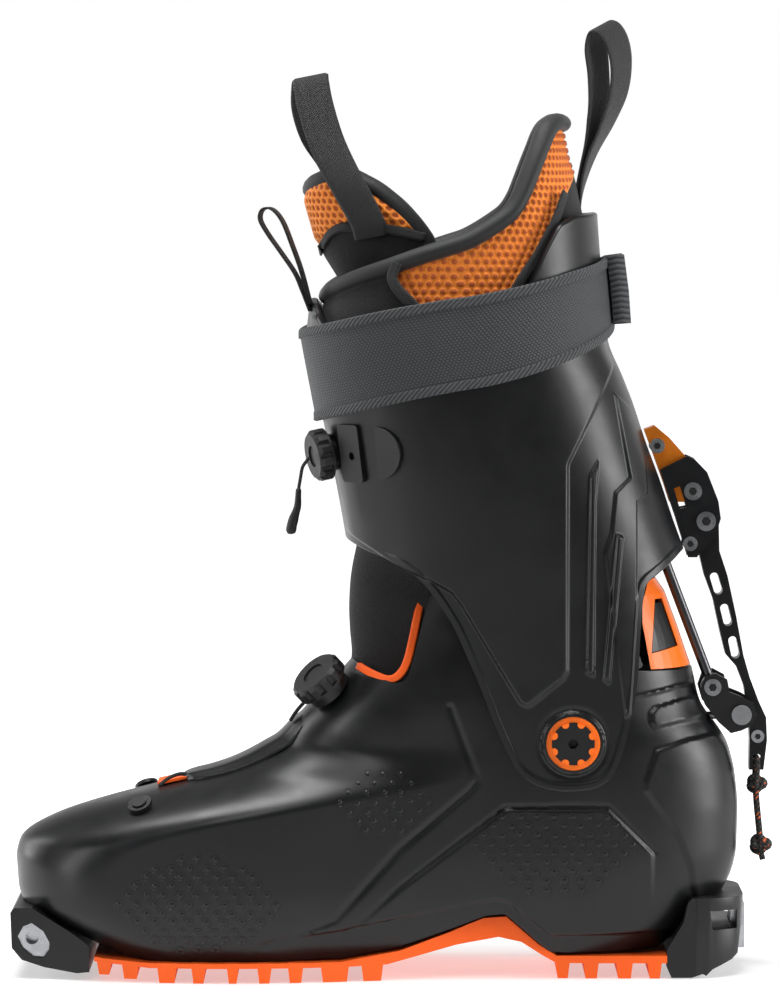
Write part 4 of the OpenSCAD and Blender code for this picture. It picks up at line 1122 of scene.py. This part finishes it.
# ---------- webbing ----------
def webbing(name, points, across, width, thick, replaces):
    """A band of webbing along the points. across(t) is the direction of its width."""
    path = catmull(points, 10)
    sides = [across(t) for t in np.linspace(0, 1, len(path))]
    obj = sweep(name, path, band_section(width, thick), None, across=sides)
    dress(obj, "webbing", "cuff", replaces)


FRONT_LOOP = [
    (-7.5, -25.5, 293.5), (-9, -28.2, 299.5), (-15, -27.8, 311), (-20.5, -25.2, 321), (-25.5, -20.5, 332),
    (-29.5, -15, 345), (-31.2, -11, 353.5), (-31.6, -7.5, 356.5), (-32.2, -4, 353.5), (-32.2, -2, 345),
    (-29.6, -0.6, 333), (-25.6, 0, 323), (-23, 0, 313)]
REAR_LOOP_W = 18
REAR_LOOP_EDGE = [
    (73.6, 305), (74.2, 313), (75.6, 321), (77.4, 331), (78.6, 344), (78.4, 357), (77.2, 367.5),
    (78.6, 373.8), (82.2, 373.6), (85.8, 368.2), (87.5, 359), (86.3, 347), (82.4, 335), (78.2, 324.5),
    (75.9, 314), (75.3, 305)]
RIBBON = [
    (-31.5, -12, 264), (-34.6, -12, 272), (-37.6, -12, 279), (-43, -12, 287), (-48.6, -12, 295),
    (-51.4, -12, 300.5), (-50.2, -12, 304.3), (-46.5, -12, 304.3), (-42.5, -12, 299.5),
    (-38.5, -12, 289.5), (-35, -12, 279.5), (-31.5, -11.4, 266)]


def front_turn(t):
    """Direction of the front loop's width, which turns from across its near end to along the boot."""
    y = 0.1 - 0.6 * max(0, 1 - 3 * t) if t < 0.7 else 3.4 * (t - 0.7)
    return 1 - 2.9 * max(0, t - 0.7), y, 0.2


def rear_turn(t):
    """Direction of the rear loop's width, which leans back and up between its ends."""
    k = min(1, 1.6 * math.sin(math.pi * t) ** 1.3)
    return 0.02 + 0.48 * k, 1 - 0.2 * k, 0.27 * k


def loops():
    """The two pull loops and the ribbon at the cuff's front."""
    webbing("front_loop_webbing", FRONT_LOOP, front_turn, 14.5, 1.4, ["front_pull_loop"])
    turns = [rear_turn(t) for t in np.linspace(0, 1, len(REAR_LOOP_EDGE))]
    edge = [(x, -7.5, z) for x, z in REAR_LOOP_EDGE]
    rear = np.array(edge) + np.array(turns) * REAR_LOOP_W / 2
    webbing("rear_loop_webbing", rear, rear_turn, REAR_LOOP_W, 1.3, ["rear_pull_loop"])
    webbing("ribbon_webbing", RIBBON, lambda t: (0.3, 0.95, 0), 5, 0.9, ["ribbon_loop"])


STRAP_LOW = curve([(0, 259), (40, 249), (90, 235), (140, 224), (180, 219.5)], 8)
STRAP_HIGH = curve([(0, 285.5), (40, 281), (90, 270), (140, 260), (180, 255.5)], 8)
STRAP_T = 2.2
BINDING_W = 3.4


def strap_at(angle, k, off):
    """Points of the strap. k runs from its lower to its upper edge."""
    up, side = round_leg(angle)
    z = STRAP_LOW(up) + (STRAP_HIGH(up) - STRAP_LOW(up)) * k
    return cuff_at(up, side, z, off)


def strap():
    """The power strap round the cuff, with sewn bindings along its edges."""
    cols = 420
    angle = np.arange(cols) * 360 / cols
    length = arc_length(strap_at(angle, 0.5, 0))
    ks = np.linspace(0, 1, 40)
    face = strap_at(angle[None], ks[:, None], -1.0 - STRAP_T + 0.5)
    back = strap_at(angle[None], ks[::-1][:, None], -1.0)
    cloth = np.stack(np.broadcast_arrays(length[None], (ks * 36)[:, None]), -1)
    body = grid_object("strap_web", np.concatenate([face, back]).transpose(1, 0, 2)[:, ::-1], True, True,
                       np.concatenate([cloth, cloth]).transpose(1, 0, 2)[:, ::-1])
    dress(body, "strap", "cuff", ["power_strap"])
    edges = []
    for k in (BINDING_W / 72, 1 - BINDING_W / 72):
        line = strap_at(angle, k, -1.0 - STRAP_T / 2)
        out = strap_at(angle, k, -2.0 - STRAP_T / 2) - line
        section = band_section(BINDING_W + 0.6, STRAP_T + 0.5, 10)
        edges.append(sweep("edge", line, section, out, closed=True))
    dress(join("strap_bindings", edges), "binding", "cuff")
    keeper()


def keeper():
    """The strap's folded end and its sewn keeper behind the leg."""
    lo, hi = (np.array(v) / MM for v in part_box("strap_keeper"))
    mid_y = (lo[1] + hi[1]) / 2
    z = np.linspace(259, 286, 30)
    x = np.interp(z, [257.5, 272, 287], [92.3, 91.2, 89.2])
    path = np.stack([x, np.full(30, mid_y), z], 1)
    fold = sweep("keeper_fold", path, band_section(hi[1] - lo[1] - 1, 6.4, 16), (1, 0, 0.1))
    dress(fold, "strap", "cuff", ["strap_keeper"])
    rims = []
    for y in (lo[1] + 1.7, hi[1] - 1.7):
        line = path + (0, y - mid_y, 0)
        rims.append(sweep("rim", line, band_section(3.4, 7, 8), (1, 0, 0.1)))
    dress(join("keeper_bindings", rims), "binding", "cuff")


loops()
strap()


# ---------- trims ----------
THROAT = [(-12, 122.6), (-6, 120.2), (-0.5, 118.8), (3.5, 120.6), (6.6, 125.4), (9, 134.4), (11.6, 146.4),
          (14.5, 157.4)]


def throat_edge():
    """Soft orange edging round the throat notch."""
    parts = []
    for sign in (-1, 1):
        x, z = side_line(THROAT, 8).T
        rounding = end_round((x - SHELL_FRONT(z) - 1) / ROUND_FRONT(z), 2.1)
        path = np.stack([x, sign * (SHELL_HALF(x) * WIDTH_SHARE(z) - 1.6) * rounding, z], 1)
        parts.append(sweep("edge", path, band_section(3.4, 3.4, 8), (0, sign, 0)))
    dress(join("throat_edging", parts), "orange_rubber", "root", ["throat_trim"])


FLAP_LINE = [
    (-83.5, 78), (-82, 79.1), (-79, 80.1), (-73, 81.6), (-65.7, 84), (-58, 87.4), (-51, 91.3),
    (-46, 94.2), (-42, 98), (-39, 102), (-37.5, 104)]


def instep_flap():
    """The overlapping flap of the shell that closes the instep above the gusset."""
    line = side_line(FLAP_LINE, 8)
    y = np.linspace(-1, 1, 41)
    k = np.linspace(0, 1, len(line))[:, None]
    half = 15 + 5 * np.sin(np.pi * k) - 4 * (1 - k)
    wide = y[None] * half
    share = np.abs(wide) / (SHELL_HALF(line[:, :1]) * WIDTH_SHARE(line[:, 1:]))
    back = ROUND_FRONT(line[:, 1:]) * (1 - (1 - share ** 2.1) ** (1 / 2.1))
    outer = np.stack([line[:, :1] + back, wide, line[:, 1:] + 0 * wide], -1)
    sink = 0.2 + 1.5 * smooth(0.6, 1, np.abs(y))[None] + 1.6 * smooth(0.8, 1, k)
    slope = np.gradient(line, axis=0)
    slope /= np.linalg.norm(slope, axis=1, keepdims=True)
    inward = np.stack([slope[:, 1], 0 * slope[:, 0], -slope[:, 0]], -1)[:, None]
    outer = outer + inward * sink[..., None]
    inner = outer[:, ::-1] + inward * 1.8
    obj = grid_object("instep_flap_moulding", np.concatenate([outer, inner], 1), True, False)
    dress(obj, "shell", "root", ["instep_flap"])


# Centre and socket radius of each bolt head, and how far it sits inside the outermost one of its node
BOLTS = {
    "plate_bolts": ("cuff", [(106.6, 210, 1.4, 2.5), (120.8, 192, 1.6, 0), (119.8, 171, 1.3, 0)]),
    "lever_axle": ("cuff", [(126.1, 180, 1.8, 0)]),
    "lever_bolt": ("lever", [(147.2, 93.5, 1.2, 0)]),
    "strut_bolt": ("root", [(128.7, 114, 1.6, 0)]),
}


def notch(angle):
    """Outline of a driving notch in the rim of a pivot bolt."""
    outline = circle(8.2 * math.cos(angle), 8.2 * math.sin(angle), 1.5, 20)
    rim = np.minimum(1, 8.46 / np.hypot(*outline.T))
    return outline * rim[:, None] + PIVOT


def sockets():
    """Dark discs as painted shade for the sockets in the bolt heads, and the driving notches of the pivot bolts."""
    for node, (body, heads) in BOLTS.items():
        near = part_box(node)[0][1] / MM
        parts = []
        for x, z, r, inset in heads:
            for face in (near + inset, -near - inset):
                # Painted shade: a thin dark hexagon stands on each face where the socket's hollow would be; no hole
                # is cut.
                parts.append(prism("socket", circle(x, z, r, 6), face - 0.4, face + 0.4, False))
        dress(join(node + "_sockets", parts), "hollow", body)
    near, far = (limit[1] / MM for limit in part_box("pivot_bolts"))
    notches = [prism("notch", notch(angle), y0, y1, False) for angle in np.radians(22.5 + 45 * np.arange(8))
               for y0, y1 in ((far - 3, far + 0.2), (near - 0.2, near + 3))]
    dress(join("pivot_notches", notches), "orange_plastic", "root")


def heel_block():
    """The heel block, with cheeks that wrap forward round the shell."""
    lo, hi = (np.array(v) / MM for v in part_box("heel_block"))
    outline = [
        (111.6, 0.2), (119.5, 0.2), (124, 1.6), (125.5, 0.8), (128, 3.2), (136, 6.8), (138.4, 9), (140.9, 30),
        (140.9, hi[2]), (119.8, hi[2]), (118.2, hi[2] - 1.4), (116.3, 22.2), (109.8, 11.3), (109.8, 4.3)]
    obj = prism("heel_block_moulding", outline, lo[1], hi[1], False)
    corner = [(100, 33.5), (112, 33.5), (122, 31.8), (132, 28), (138.5, 22.5), (140.8, 15), (141, 6), (141, 0)]
    plan = side_line(corner, 6)
    plan = np.vstack([plan, plan[::-1][1:] * (1, -1)])
    ends = np.vstack([np.c_[plan, np.full(len(plan), z)] for z in (-5, 60)])
    boolean(obj, mesh_object("plan", ends, capped_faces(2, len(plan))), "INTERSECT")
    boolean(obj, prism("slot", [(128, 19), (138, 19), (138, 26.5), (127, 26.5)], -60, 60))
    boolean(obj, prism("plate", [(136, 9), (150, 9), (150, 27.4), (136, 27.4)], -10.2, 10.2))
    bevel(obj, 0.7, 3, 28)
    dress(obj, "hard", "root", ["heel_block"])


throat_edge()
instep_flap()
sockets()
heel_block()


# ---------- CAD pieces that stay ----------
KEPT = {
    "orange_rubber": ["outsole", "instep_gusset"],
    "hard": ["toe_block", "heel_bracket", "pivot_bolts", "instep_dial_base", "instep_spool", "cuff_dial_bracket",
             "cuff_dial_pad", "cuff_dial_base", "cuff_lace_anchor", "lace_anchors", "spine_windows"],
    "soft": ["instep_dial_knob", "cuff_dial_knob"],
    "orange_plastic": ["heel_spine", "pivot_rings"],
    "orange_metal": ["walk_plate"],
    "black_metal": ["side_plates", "lever", "strut_eye"],
    "dark_steel": ["strut"],
    "steel": ["toe_insert", "heel_insert", "heel_insert_screw", "bracket_screw", "lock_pin", "strut_bolt",
              "plate_bolts", "lever_axle", "lever_bolt"],
    "lining": ["liner_foot"],
    "felt": ["insole"],
}
BEVELS = {"outsole": 0.5, "toe_block": 0.7, "lever": 0.7, "side_plates": 0.35, "walk_plate": 0.35,
          "heel_bracket": 0.4, "heel_spine": 0.35, "pivot_rings": 0.3, "toe_insert": 0.3, "heel_insert": 0.3}


def kept_pieces():
    """Gives the CAD pieces that stay their material and softened edges."""
    for mat, names in KEPT.items():
        for name in names:
            obj = frame["nodes"][name]
            obj.data.materials.clear()
            obj.data.materials.append(MAT[mat])
            bevel(obj, BEVELS.get(name, 0.2), 2, 35).harden_normals = True


kept_pieces()
